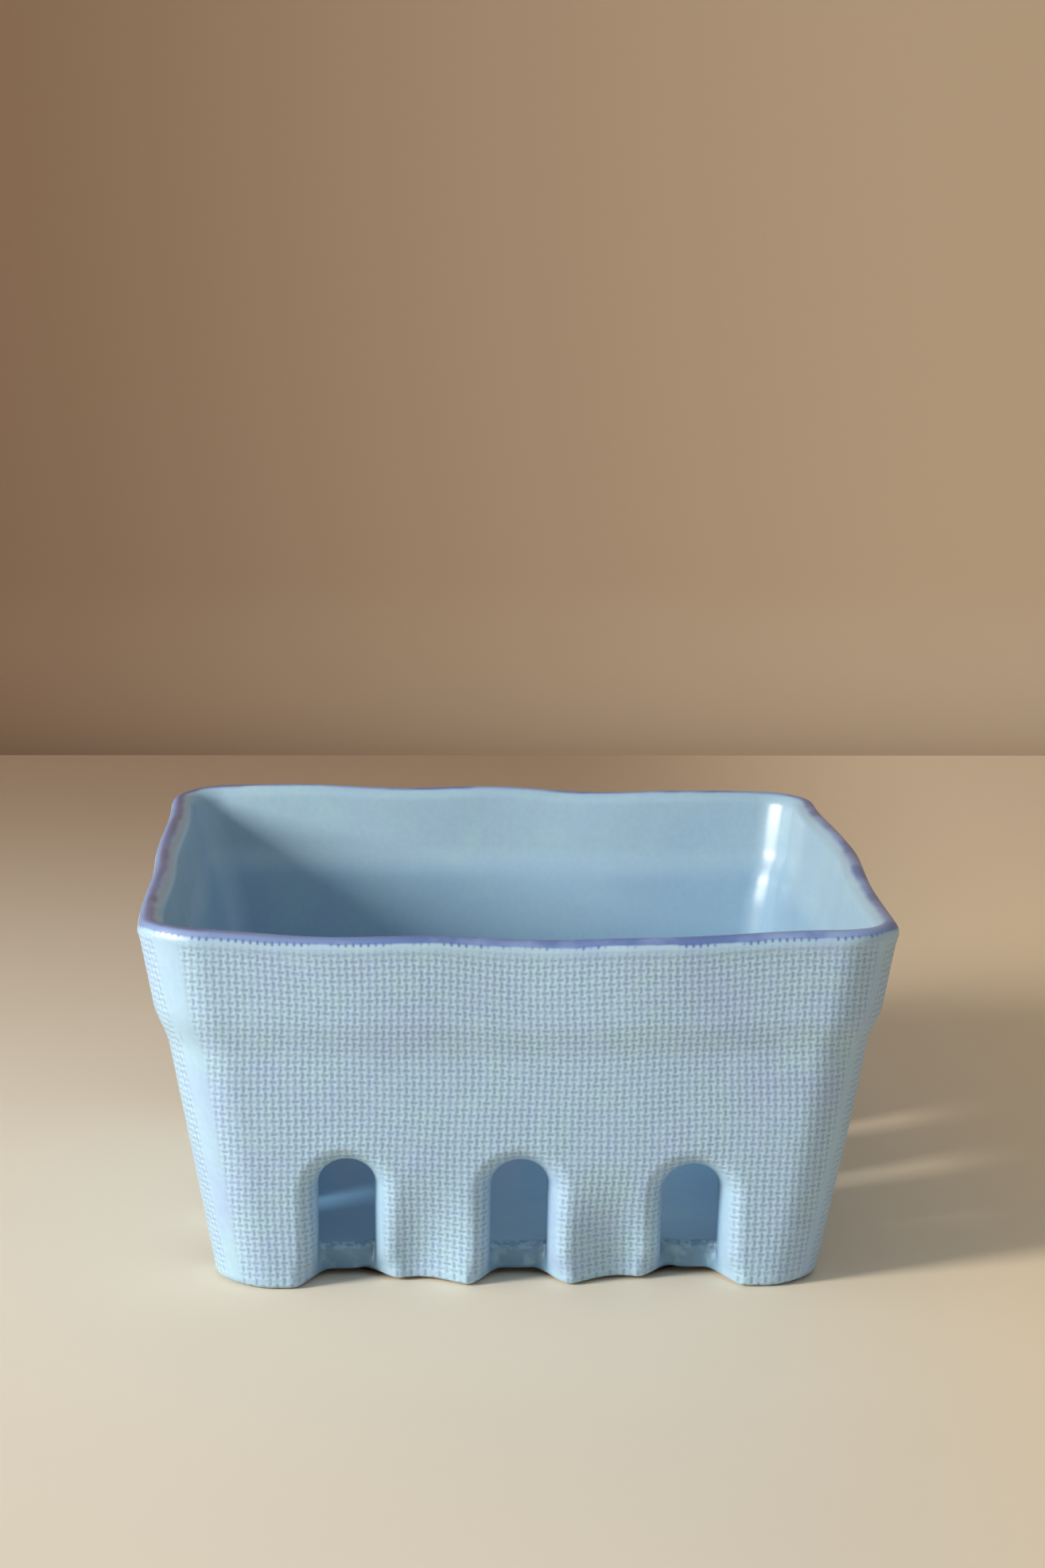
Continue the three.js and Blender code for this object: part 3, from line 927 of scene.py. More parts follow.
def vent_grid(stations, rings, border_steps):
    """Places of a vent's patch: along, height and reach, as rings by stations."""
    edge_along, edge_height, way_along, way_up, border_along, border_height = stations.T
    along = edge_along + rings[:, None] * way_along
    height = edge_height + rings[:, None] * way_up
    shares = np.linspace(0.0, 1.0, border_steps + 1)[1:, None]
    flat_along = along[-1] * (1.0 - shares) + border_along * shares
    flat_height = height[-1] * (1.0 - shares) + border_height * shares
    near = np.broadcast_to(rings[:, None], along.shape)
    far = np.hypot(flat_along - edge_along, flat_height - edge_height)
    far[-1] = np.inf
    return [np.concatenate(rows) for rows in ((along, flat_along), (height, flat_height), (near, far))]


def corner_heights(steps):
    sides = np.linspace(VENT_SPRING, PATCH_TOP, SIDE_STEPS + 1)[1:]
    uppers = np.linspace(PATCH_TOP, BEAD_BOTTOM, steps + 1)[1:]
    return np.concatenate([leg_heights(VENT_SPRING), sides, uppers])


def lay_face(clay, side, inside):
    """Lays one face of a wall and returns its border lines, not yet turned to their side."""
    face = inside_face if inside else outside_face
    rings = INSIDE_RINGS if inside else lip_rings()
    border_steps = 1 if inside else FLAT_STEPS
    steps = INSIDE_UPPER_STEPS if inside else UPPER_STEPS
    lines = {"vents": [], "sills": [], "ends": {}}

    def lay(grid, along, height, flip):
        points, threads, marks = grid
        # Below the top of the floor the inside is out of sight, and stays bare.
        low = (points[..., 2] < FLOOR_TOP + WELD_STEP) & inside
        hidden = low[:-1, :-1] & low[:-1, 1:] & low[1:, 1:] & low[1:, :-1]
        coats = np.where(hidden.ravel(), BARE_CLAY, GLAZED)
        bakes = bake_place(along, height, inside)
        clay.add_grid(turned_to_side(side, points), threads, bakes, marks, flip=flip, coat=coats)
        return points

    middle_foot = []
    for vent, centre in enumerate(VENT_CENTRES):
        along, height, reach = vent_grid(vent_stations(vent), rings, border_steps)
        patch = lay(face(along, height, reach), along, height, inside)
        edge = slice(FOOT_STEPS, patch.shape[1] - FOOT_STEPS)
        lines["vents"].append((patch[0, edge], along[0, edge], height[0, edge]))
        shares = np.linspace(-1.0, 1.0, SILL_STEPS + 1)
        levels = leg_heights(VENT_SPRING)[:FOOT_STEPS + 1]
        height, along = np.meshgrid(levels, centre + shares * VENT_HALF_WIDTH, indexing="ij")
        sill_share = () if inside else (np.broadcast_to(shares, along.shape),)
        sill = lay(face(along, height, np.zeros_like(along), *sill_share), along, height, inside)
        lines["sills"].append((sill[-1], along[-1]))
        middle_foot += [patch[::-1, 0][1:], sill[0, 1:], patch[1:, -1]]

    heights = np.linspace(PATCH_TOP, BEAD_BOTTOM, steps + 1)
    along = column_alongs(heights)
    height = np.broadcast_to(heights[:, None], along.shape)
    upper = lay(face(along, height, np.full_like(along, np.inf)), along, height, inside)

    height = corner_heights(steps)[:, None]
    turn = np.linspace(0.0, MITRE_TURN, CORNER_STEPS + 1)[None]
    corners = {}
    for hand in (-1, 1):
        grid = corner_face(hand, turn, height, inside, side)
        corners[hand] = lay(grid, corner_length(hand, turn, height), height, (hand < 0) != inside)
        lines["ends"][hand] = corners[hand][:, -1]
    lines["foot"] = np.concatenate([corners[-1][0, ::-1], *middle_foot, corners[1][0, 1:]])
    lines["top"] = np.concatenate([corners[-1][-1, ::-1], upper[-1, 1:-1], corners[1][-1]])
    return lines


print(len(corner_heights(UPPER_STEPS)), "rows in an outside corner,", len(lip_rings()), "rings on a lip")

# %% [markdown]
# Narrow faces close the clay between outside and inside: the edges of the vents, the sills, the foot,
# the top under the rim and the two mitres. The edges of the vents fill the openings of the flat drawing
# in the bake map. Faces that touch another piece or the table stay bare clay.

# %% Close the walls
EDGE_STEPS = 3
BAKE_EDGE = 0.0015
BAKE_FOOT = (0.505, 0.492)
BAKE_HIDDEN = (0.999, 0.999)
NO_THREADS = (0.0, 0.0)
PLAIN_MARKS = (0.0, 1.0, 0.0)
SIDES = ("front", "right", "rear", "left")


def build_wall(side):
    clay = ClayPiece()
    outside = lay_face(clay, side, False)
    inside = lay_face(clay, side, True)
    shares = np.linspace(0.0, 1.0, EDGE_STEPS + 1)[:, None]

    def close_edge(outer, inner, along, height, flip):
        rows = rows_between(outer, inner, EDGE_STEPS)
        marks = smooth_marks(rows.shape[:2], LIP_GLOSS + (1.0 - LIP_GLOSS) * shares)
        bakes = bake_place(along, height, False)
        clay.add_grid(turned_to_side(side, rows), NO_THREADS, bakes, marks, flip=flip)

    def close_bare(outer, inner, outer_bakes, inner_bakes, flip):
        first = turned_to_side(side, outer)
        second = turned_to_side(side, inner)
        clay.add_zip(
            first, second, NO_THREADS, outer_bakes, inner_bakes, PLAIN_MARKS, flip=flip, coat=BARE_CLAY)

    for vent, centre in enumerate(VENT_CENTRES):
        edge, along, height = outside["vents"][vent]
        narrowed = centre + (along - centre) * (1.0 - shares * BAKE_EDGE / VENT_HALF_WIDTH)
        lowered = height - (height > VENT_SPRING) * shares * BAKE_EDGE
        close_edge(edge, inside["vents"][vent][0], narrowed, lowered, True)
        sill, along = outside["sills"][vent]
        close_edge(sill, inside["sills"][vent][0], along, FLOOR_TOP + shares * BAKE_EDGE, False)

    feet = (outside["foot"], inside["foot"])
    foot_bakes = [
        np.stack([BAKE_MIDDLE + foot[:, 0] * BAKE_SCALE, np.full(len(foot), level)], axis=-1)
        for foot, level in zip(feet, BAKE_FOOT)
    ]
    close_bare(*feet, *foot_bakes, True)
    top = turned_to_side(side, rows_between(outside["top"], inside["top"]))
    clay.add_grid(top, NO_THREADS, BAKE_HIDDEN, PLAIN_MARKS, coat=BARE_CLAY)
    for hand in (-1, 1):
        close_bare(outside["ends"][hand], inside["ends"][hand], BAKE_HIDDEN, BAKE_HIDDEN, hand > 0)
    return clay.weld()


clay_pieces = {f"{name}_wall": build_wall(side) for side, name in enumerate(SIDES)}
for name, clay in clay_pieces.items():
    print(name, "has", len(clay.vertices), "points and", sum(len(block) for block in clay.faces), "faces")

# %% [markdown]
# ## The rim
# The top edge is a bead of clay, rolled over and smoothed with a wet finger, so the print runs on to it
# only a little way and fades. It is a half round on short straight sides, swept along the top of the
# four walls. Its columns are the same as those of the walls below, which lets the two meet without a
# step.

# %% Roll the rim
BEAD_SIDE_STEPS = 4
BEAD_ROUND_STEPS = 22
RIM_BAKE_MARGIN = 0.03

bead_sides = np.linspace(BEAD_BOTTOM, HEIGHT - BEAD_RADIUS, BEAD_SIDE_STEPS + 1)
side_up = [(0.0, height) for height in bead_sides]
over = [
    (BEAD_RADIUS * (1.0 - math.cos(angle)), HEIGHT - BEAD_RADIUS * (1.0 - math.sin(angle)))
    for angle in np.linspace(0.0, math.pi, BEAD_ROUND_STEPS + 1)[1:]
]
side_down = [(WALL, height) for height in bead_sides[-2::-1]]
bead_section = np.array(side_up + over + side_down)
section_steps = np.hypot(*np.diff(bead_section, axis=0).T)
section_length = np.concatenate([[0.0], np.cumsum(section_steps)])


def build_rim():
    clay = ClayPiece()
    inset, height = bead_section.T[:, :, None]
    run = BEAD_BOTTOM + section_length[:, None]
    section_share = section_length[:, None] / section_length[-1]
    swell = bead_swell(height) * np.clip(1.0 - inset / BEAD_RADIUS, 0.0, 1.0)
    end = straight_end(height)
    for side in range(len(SIDES)):
        bake_row = (side + RIM_BAKE_MARGIN + (1.0 - 2.0 * RIM_BAKE_MARGIN) * section_share) / len(SIDES)
        for hand in (-1, 0, 1):
            if hand:
                turn = np.linspace(0.0, MITRE_TURN, CORNER_STEPS + 1)[None]
                angle = np.radians(turn)
                length = corner_length(hand, turn, height)
            else:
                turn = None
                angle = 0.0
                length = column_alongs(height[:, 0])
            rise = np.broadcast_to(run, length.shape)
            threads = thread_coordinates(length, rise)
            marks = cloth_marks(rise, 1.0, turn, hand, side)
            marks[..., 2] = section_share
            radius = corner_radius(height) + swell - inset - print_depth(threads, marks)
            along = hand * (end + radius * np.sin(angle)) if hand else length
            out = end + radius * np.cos(angle)
            level = np.broadcast_to(height, along.shape)
            points = turned_to_side(side, np.stack([along, out, level], axis=-1))
            bake_across = BAKE_MIDDLE + length * BAKE_SCALE
            bakes = np.stack([bake_across, np.broadcast_to(bake_row, length.shape)], axis=-1)
            flip = hand < 0
            clay.add_grid(points, threads, bakes, marks, flip=flip)
            underside = points[[-1, 0]]
            clay.add_grid(underside, NO_THREADS, BAKE_HIDDEN, PLAIN_MARKS, flip=flip, coat=BARE_CLAY)
    return clay.weld()


clay_pieces["rim_coil"] = build_rim()
print("Rim bead:", in_millimetres(section_length[-1]), "mm round its section")

# %% [markdown]
# ## The floor
# The floor is a slab let in between the walls. Its top is level with the sills of the vents, so that
# water drains, and its underside stays clear of the table. The edge of the slab reaches a little way
# into the walls, where the fillet of each wall covers it. Flat as it is, it needs no grid: two faces
# with many corners and a strip of narrow faces between them are enough.

# %% Lay the floor
FLOOR_CLEARANCE = 0.0015
FLOOR_OVERLAP = 0.0004
FLOOR_UNDER_SILL = 0.00002
FLOOR_SIDE_STEPS = 150
FLOOR_CORNER_STEPS = 12
FLOOR_BAKE_SCALE = 4.3
FLOOR_BAKE_OFFSET = 0.25


def floor_outline(height):
    inset = WALL - FLOOR_OVERLAP
    end = straight_end(height)
    along = np.linspace(-end, end, FLOOR_SIDE_STEPS + 1)
    reach = np.min([np.abs(along - centre) for centre in VENT_CENTRES], axis=0) - VENT_HALF_WIDTH
    out = half_width(height) - inset - lip_back(np.maximum(reach, 0.0)) - pier_setback(along, height)
    turn = np.radians(np.linspace(0.0, 2 * MITRE_TURN, FLOOR_CORNER_STEPS + 1))[1:-1]
    radius = corner_radius(height) - inset
    along = np.concatenate([along, end + radius * np.sin(turn)])
    out = np.concatenate([out, end + radius * np.cos(turn)])
    line = np.stack([along, out, np.full_like(along, height)], axis=-1)
    return np.concatenate([turned_to_side(side, line) for side in range(len(SIDES))])


top_line = floor_outline(FLOOR_TOP - FLOOR_UNDER_SILL)
bottom_line = floor_outline(FLOOR_CLEARANCE)
count = len(top_line)
floor_points = hand_formed(np.concatenate([top_line, bottom_line]))
top_face = tuple(range(count))
bottom_face = tuple(count + number for number in reversed(top_face))
edge_faces = [(i, count + i, count + (i + 1) % count, (i + 1) % count) for i in top_face]
floor_piece = mesh_piece("glazed_floor_slab", floor_points.tolist(), [top_face, bottom_face, *edge_faces])
floor_mesh = floor_piece.data
flat_map = floor_mesh.uv_layers.new(name="OFBake")
for face in floor_mesh.polygons:
    on_top = face.index == 0
    face.material_index = GLAZED if on_top else BARE_CLAY
    hand = 1 if on_top else -1
    for corner in face.loop_indices:
        point = floor_mesh.vertices[floor_mesh.loops[corner].vertex_index].co
        across = BAKE_MIDDLE - hand * (FLOOR_BAKE_OFFSET - point.x * FLOOR_BAKE_SCALE)
        flat_map.data[corner].uv = (across, BAKE_MIDDLE + point.y * FLOOR_BAKE_SCALE)
print("Floor outline:", count, "points")

# %% [markdown]
# ## From grids to Blender meshes
# Where two pieces touch, each alone would shade its last row as an edge. The surface direction is
# therefore worked out over the walls and the rim together: the directions of all glazed faces round a
# shared point are added up, and every piece gets that common direction as its own normal. The thread
# coordinates become one UV map, the flat drawing another, and the three marks a vector attribute.

# %% Make the meshes
SHARED_POINT_STEP = 1e-7


def face_directions(clay):
    """Sum of the face directions at each point, from glazed faces only, weighted by area."""
    sums = np.zeros_like(clay.vertices)
    start = 0
    for block in clay.faces:
        corners = clay.vertices[block]
        direction = np.cross(corners[:, 2] - corners[:, 0], corners[:, -1] - corners[:, 1])
        glazed = clay.face_coats[start:start + len(block)] == GLAZED
        for place in range(block.shape[1]):
            np.add.at(sums, block[glazed, place], direction[glazed])
        start += len(block)
    return sums


def clay_object(name, clay, normals):
    mesh = bpy.data.meshes.new(name)
    corners = np.concatenate([block.ravel() for block in clay.faces])
    sizes = np.concatenate([np.full(len(block), block.shape[1]) for block in clay.faces])
    starts = np.concatenate([[0], np.cumsum(sizes)[:-1]])
    mesh.vertices.add(len(clay.vertices))
    mesh.vertices.foreach_set("co", clay.vertices.ravel())
    mesh.loops.add(len(corners))
    mesh.loops.foreach_set("vertex_index", corners)
    mesh.polygons.add(len(sizes))
    mesh.polygons.foreach_set("loop_start", starts)
    mesh.polygons.foreach_set("material_index", clay.face_coats)
    mesh.update(calc_edges=True)
    mesh.shade_smooth()
    for title, values in (("threads", clay.corner_threads), ("OFBake", clay.corner_bakes)):
        mesh.uv_layers.new(name=title).data.foreach_set("uv", values.ravel())
    marks = mesh.attributes.new("glaze_marks", "FLOAT_VECTOR", "POINT")
    marks.data.foreach_set("vector", clay.vertex_marks.ravel())
    # A point with bare clay all round has no common direction, and keeps its own.
    own = np.zeros(normals.size, dtype=np.float32)
    mesh.vertices.foreach_get("normal", own)
    bare = ~normals.any(axis=1, keepdims=True)
    normals = np.where(bare, own.reshape(normals.shape), normals)
    mesh.normals_split_custom_set_from_vertices(normals.tolist())
    piece = bpy.data.objects.new(name, mesh)
    bpy.context.scene.collection.objects.link(piece)
    return piece


all_points = np.concatenate([clay.vertices for clay in clay_pieces.values()])
all_directions = np.concatenate([face_directions(clay) for clay in clay_pieces.values()])
keys = np.round(all_points / SHARED_POINT_STEP).astype(np.int64)
shared = np.unique(keys, axis=0, return_inverse=True)[1].ravel()
totals = np.stack([np.bincount(shared, weights=direction) for direction in all_directions.T], axis=1)
common = totals[shared]
common /= np.maximum(np.linalg.norm(common, axis=1, keepdims=True), NEARLY_ZERO)

pieces = {"floor_slab": floor_piece}
taken = 0
for node, clay in clay_pieces.items():
    normals = common[taken:taken + len(clay.vertices)]
    taken += len(clay.vertices)
    pieces[node] = clay_object(f"glazed_{node}", clay, normals)
    triangles = sum(len(block) * (block.shape[1] - 2) for block in clay.faces)
    print(pieces[node].name, "has", triangles, "triangles")

# %% [markdown]
# ## Effects that several finishes share
# Glaze is never one flat colour. Melted in the kiln it drifts between cool and greenish patches, and
# its surface keeps a very slight ripple. Iron in the clay burns through as a few dark specks. Several
# finishes need these effects, so each is a node group: made once, with named inputs and outputs, and
# placed in every material that uses it. Specks are round spots in a few of the cells of a Voronoi
# pattern, whose random colour decides which cells get one.

# %% Shared node groups
COOL_PATCHES = {"scale": 62.0, "start": 0.44, "end": 0.72, "high": 0.55}
GREEN_PATCHES = {"scale": 95.0, "detail": 3.0, "start": 0.47, "end": 0.75, "high": 0.8}
GLAZE_GRAIN = {"scale": 900.0, "start": 0.3, "end": 0.7, "low": 0.975, "high": 1.02}
RIPPLE_SCALE = 130.0
RIPPLE_DETAIL = 1.0
SPECK_CELLS = 190.0
SPECK_CORE = 0.5
SPECK_FREE_SHARE = 0.82


def new_group(title, inputs, outputs):
    """A shader node group with named sockets, and its input and output sockets."""
    group = bpy.data.node_groups.new(title, "ShaderNodeTree")
    for in_out, sockets in (("INPUT", inputs), ("OUTPUT", outputs)):
        for name, kind in sockets:
            group.interface.new_socket(name, in_out=in_out, socket_type=f"NodeSocket{kind}")
    return group, add_node(group, "NodeGroupInput").outputs, add_node(group, "NodeGroupOutput").inputs


def use_group(tree, group, **sources):
    inputs = {name.replace("_", " ").capitalize(): source for name, source in sources.items()}
    return add_node(tree, "ShaderNodeGroup", inputs, node_tree=group).outputs


kiln_glaze, given, result = new_group(
    "kiln glaze",
    [("Place", "Vector"), ("Body", "Color"), ("Cool patches", "Color"), ("Green patches", "Color")],
    [("Colour", "Color"), ("Ripple", "Float")],
)
place = given["Place"]
cool_share = patchy(kiln_glaze, place, **COOL_PATCHES)
green_share = patchy(kiln_glaze, place, **GREEN_PATCHES)
patched = blend_colours(kiln_glaze, cool_share, given["Body"], given["Cool patches"])
patched = blend_colours(kiln_glaze, green_share, patched, given["Green patches"])
grained = {"Vector": patched, "Scale": patchy(kiln_glaze, place, **GLAZE_GRAIN)}
shaded = add_node(kiln_glaze, "ShaderNodeVectorMath", grained, operation="SCALE")
plug(kiln_glaze, result["Colour"], shaded.outputs["Vector"])
plug(kiln_glaze, result["Ripple"], cloudy(kiln_glaze, place, RIPPLE_SCALE, RIPPLE_DETAIL))

iron_specks, given, result = new_group(
    "iron specks", [("Place", "Vector"), ("Radius", "Float")], [("Specks", "Float")])
cell_inputs = {"Vector": given["Place"], "Scale": SPECK_CELLS}
cells = add_node(iron_specks, "ShaderNodeTexVoronoi", cell_inputs).outputs
size = product(iron_specks, given["Radius"], SPECK_CELLS)
core = product(iron_specks, size, SPECK_CORE)
spot = smooth_range(iron_specks, cells["Distance"], core, size, 1.0, 0.0)
chance = add_node(iron_specks, "ShaderNodeSeparateColor", {"Color": cells["Color"]}).outputs["Red"]
kept = calculate(iron_specks, "GREATER_THAN", chance, SPECK_FREE_SHARE)
plug(iron_specks, result["Specks"], product(iron_specks, spot, kept))
print("Shared groups:", kiln_glaze.name, "and", iron_specks.name)

# %% [markdown]
# The cloth print is used on the walls and, where it fades, on the rim. It is one idea with three
# results: dents, where a thread lay and glaze pools darker, pillows between the threads, where glaze
# runs thin and pale, and a fine relief. It repeats the chequer of the mesh with crisper edges.

# %% Cloth print group
THREAD_SHARPNESS = 5.0
CHEQUER_EDGE = (-0.08, 0.42)
PILLOW_EDGE = (0.45, 0.95)
WORN_PATCHES = {"scale": 0.55, "start": 0.25, "end": 0.6, "low": 0.45}


def thread_wave(tree, counted):
    """A wave over counted threads, 1 or -1 on the middle of each thread."""
    return calculate(tree, "COSINE", product(tree, counted, math.pi))


cloth_print, given, result = new_group(
    "cloth print",
    [("Threads", "Vector"), ("Cloth", "Float"), ("Cross", "Float")],
    [("Dents", "Float"), ("Pillows", "Float"), ("Relief", "Float")],
)
counted = axes(cloth_print, given["Threads"])
across_wave = thread_wave(cloth_print, counted["X"])
up_wave = thread_wave(cloth_print, counted["Y"])
chequer = product(cloth_print, across_wave, up_wave)
across_ridge = calculate(cloth_print, "ABSOLUTE", across_wave)
up_ridge = calculate(cloth_print, "ABSOLUTE", up_wave)
upright_line = calculate(cloth_print, "POWER", across_ridge, THREAD_SHARPNESS)
crosswise_line = calculate(cloth_print, "POWER", up_ridge, THREAD_SHARPNESS)
upright_turn = smooth_range(cloth_print, chequer, *CHEQUER_EDGE)
crosswise_turn = smooth_range(cloth_print, chequer, *[-edge for edge in CHEQUER_EDGE])
upright = product(cloth_print, upright_line, upright_turn)
crosswise = product(cloth_print, crosswise_line, crosswise_turn, given["Cross"])
worn = patchy(cloth_print, given["Threads"], **WORN_PATCHES)
dents = calculate(cloth_print, "MAXIMUM", upright, crosswise)
dents = product(cloth_print, dents, worn, given["Cloth"])
hollow = calculate(cloth_print, "MAXIMUM", across_ridge, up_ridge)
pillows = product(cloth_print, smooth_range(cloth_print, hollow, *PILLOW_EDGE, 1.0, 0.0), given["Cloth"])
plug(cloth_print, result["Dents"], dents)
plug(cloth_print, result["Pillows"], pillows)
plug(cloth_print, result["Relief"], calculate(cloth_print, "SUBTRACT", pillows, dents))
print("Group:", cloth_print.name, "with", len(cloth_print.nodes), "nodes")

# %% [markdown]
# ## Glaze of the walls
# Outside, the glaze is a satin pale blue that breaks over the print: lighter, a little greenish, on the
# pillows, and grey-blue to violet in the dents. Inside, the same glaze lies thicker on smooth clay, so it is
# glossier. Towards the floor the inside turns a deeper blue, partly thicker glaze and partly painted shade,
# and below the inner shoulder it has a step of painted shade. Walls and rim both have an outside and an
# inside, so each of these is a function that adds its nodes to a tree.

# %% Outside and inside glaze
OUTSIDE_COLOURS = {
    "body": linear("A9C9E0"), "cool_patches": linear("A5BBE2"), "green_patches": linear("ADD0DE")}
INSIDE_COLOURS = {
    "body": linear("A7C3D2"), "cool_patches": linear("A4BFD3"), "green_patches": linear("ABC8D2")}
PILLOW_PALE = linear("BED9E6")
PILLOW_SHARE = 0.55
DENT_GREY = linear("7E9DB8")
DENT_VIOLET = linear("879CCA")
DENT_SHARE = 0.8
DENT_TINTS = {"scale": 170.0, "start": 0.4, "end": 0.62}
RELIEF_HEIGHT = 0.000034
RIPPLE_HEIGHT = 0.00010
# The inside's deeper blue towards the floor is partly thicker glaze and partly painted shade; the step below
# the inner shoulder is painted shade.
INSIDE_THICK_AND_SHADE = linear("5D98C4")
THICK_AND_SHADE_START = 0.058
THICK_AND_SHADE_FULL = 0.008
THICK_AND_SHADE_SHARE = 0.9
SHOULDER_SHADE_SHARE = 0.22
SPECK_BROWN = linear("4B5058")
SPECK_RADIUS = 0.00016


def object_place(tree):
    return add_node(tree, "ShaderNodeTexCoord").outputs["Object"]


def thread_map(tree):
    return add_node(tree, "ShaderNodeUVMap", uv_map="threads").outputs["UV"]


def glaze_marks(tree):
    attribute = add_node(tree, "ShaderNodeAttribute", attribute_name="glaze_marks")
    return axes(tree, attribute.outputs["Vector"])


def printed_glaze(tree, place, marks):
    """Colour of the outside with its cloth print, and the reliefs of ripple and print."""
    glaze = use_group(tree, kiln_glaze, place=place, **OUTSIDE_COLOURS)
    cloth = use_group(tree, cloth_print, threads=thread_map(tree), cloth=marks["X"], cross=marks["Y"])
    dent_colour = blend_colours(tree, patchy(tree, place, **DENT_TINTS), DENT_GREY, DENT_VIOLET)
    pillow_share = product(tree, cloth["Pillows"], PILLOW_SHARE)
    colour = blend_colours(tree, pillow_share, glaze["Colour"], PILLOW_PALE)
    colour = blend_colours(tree, product(tree, cloth["Dents"], DENT_SHARE), colour, dent_colour)
    return colour, ((glaze["Ripple"], RIPPLE_HEIGHT), (cloth["Relief"], RELIEF_HEIGHT))


def inside_glaze(tree, place):
    """Colour of the inside, deeper towards the floor, partly thicker glaze and partly painted shade, and
    with painted shade below the inner shoulder.
    """
    glaze = use_group(tree, kiln_glaze, place=place, **INSIDE_COLOURS)
    level = axes(tree, place)["Z"]
    # Painted shade, partly thicker glaze, deepens the inside towards the floor, and a step of painted shade
    # lies below the inner shoulder.
    ran_down_and_shade = smooth_range(tree, level, THICK_AND_SHADE_START, THICK_AND_SHADE_FULL, 0.0, THICK_AND_SHADE_SHARE)
    shoulder_shade = smooth_range(
        tree, level, INNER_SHOULDER_END, INNER_SHOULDER_START, 0.0, SHOULDER_SHADE_SHARE)
    thick_and_shade = calculate(tree, "MAXIMUM", ran_down_and_shade, shoulder_shade)
    return blend_colours(tree, thick_and_shade, glaze["Colour"], INSIDE_THICK_AND_SHADE)


def specked(tree, place, colour, strength, radius=SPECK_RADIUS):
    specks = use_group(tree, iron_specks, place=place, radius=radius)["Specks"]
    return blend_colours(tree, product(tree, specks, strength), colour, SPECK_BROWN)


print("Print relief", in_millimetres(RELIEF_HEIGHT), "mm, ripple", in_millimetres(RIPPLE_HEIGHT), "mm")

# %% [markdown]
# One material covers a whole wall. The inside mark fades from outside to inside along the rounded edges of
# the vents, where a seam between two materials would show. The rolled-in sills are painted darker low down,
# painted shade in that recess. They carry pale blotches where the glaze thinned, and a ragged pale line
# along the edge that is partly thin glaze and partly painted highlight.

# %% Wall glaze
# The darker colour low on the sills is painted shade. The pale colour makes blotches of thin glaze, and a
# line along the sill edge that is partly thin glaze and partly painted highlight.
SILL_SHADE = linear("4A6C82")
SILL_PALE_AND_HIGHLIGHT = linear("A3C6D6")
SILL_SHADE_SHARE = 0.5
SILL_SHADE_TOP = 0.0100
SILL_SHADE_LEVEL = 0.0064
SILL_RISE = (0.0050, 0.0060)
SILL_FALL = (0.0064, 0.0070)
SILL_BLOTCHES = {"scale": 380.0, "detail": 3.0, "start": 0.46, "end": 0.70, "high": 0.8}
SILL_RAGS = {"scale": 900.0, "start": 0.40, "end": 0.60, "low": 0.1, "high": 0.7}
WALL_SPECKS = 0.7
OUTSIDE_ROUGHNESS = 0.42
INSIDE_ROUGHNESS = 0.29

wall_glaze, tree, shader = new_finish("pale blue glaze over cloth print")
place = object_place(tree)
level = axes(tree, place)["Z"]
marks = glaze_marks(tree)
colour, reliefs = printed_glaze(tree, place, marks)
colour = blend_colours(tree, marks["Z"], colour, inside_glaze(tree, place))
on_lip = smooth_range(tree, marks["Z"], 1.0, LIP_GLOSS)
rolled_in = smooth_range(tree, marks["Z"], 0.0, LIP_GLOSS)
on_sill = product(tree, on_lip, rolled_in)
# Painted shade low down on the rolled-in sills.
low = smooth_range(tree, level, SILL_SHADE_TOP, SILL_SHADE_LEVEL, 0.0, SILL_SHADE_SHARE)
colour = blend_colours(tree, product(tree, low, on_sill), colour, SILL_SHADE)
blotches = product(tree, patchy(tree, place, **SILL_BLOTCHES), low)
# A pale line along the sill edge, partly thin glaze and partly painted highlight.
ragged = product(tree, patchy(tree, place, **SILL_RAGS), band(tree, level, SILL_RISE, SILL_FALL))
sill_pale_and_highlight = product(tree, calculate(tree, "MAXIMUM", blotches, ragged), on_sill)
colour = blend_colours(tree, sill_pale_and_highlight, colour, SILL_PALE_AND_HIGHLIGHT)
roughness = smooth_range(tree, marks["Z"], LIP_GLOSS, 1.0, OUTSIDE_ROUGHNESS, INSIDE_ROUGHNESS)
dress(tree, shader, specked(tree, place, colour, WALL_SPECKS), roughness, reliefs)
print(wall_glaze.name, "has", len(tree.nodes), "nodes")

# %% [markdown]
# ## Glaze of the rim
# A brush of violet-blue was drawn round the rim. It is strongest on the outer shoulder of the bead, turns
# lighter, lavender, towards the left, and on top of the left side thins to mauve, where the clay shows
# through. A faint green-blue line lies inside it. Below it a pale line runs in places, partly thin glaze and
# partly painted highlight, and where the brush touched the first threads it left small ticks. The distance
# round the section of the bead steers all of this, so the bands follow the rim exactly.

# %% Rim glaze
BRUSH_BLUE = linear("637BB0")
BRUSH_LAVENDER = linear("8EA3CC")
TOP_MAUVE = linear("6A6A8E")
TICK_BLUE = linear("4F69A6")
# The pale line below the paint is partly thin glaze and partly painted highlight.
PALE_LINE_AND_HIGHLIGHT = linear("B2CEDB")
INNER_LINE = linear("A0C5D0")
PAINT_START = (0.225, 0.285)
PAINT_END = (0.53, 0.66)
PALE_START = (0.12, 0.17)
PALE_END = (0.22, 0.27)
TICK_START = (0.19, 0.22)
TICK_END = (0.27, 0.31)
TOP_START = (0.34, 0.47)
INSIDE_START = (0.55, 0.75)
INNER_LINE_START = (0.62, 0.74)
INNER_LINE_END = (0.74, 0.86)
INNER_LINE_SHARE = 0.25
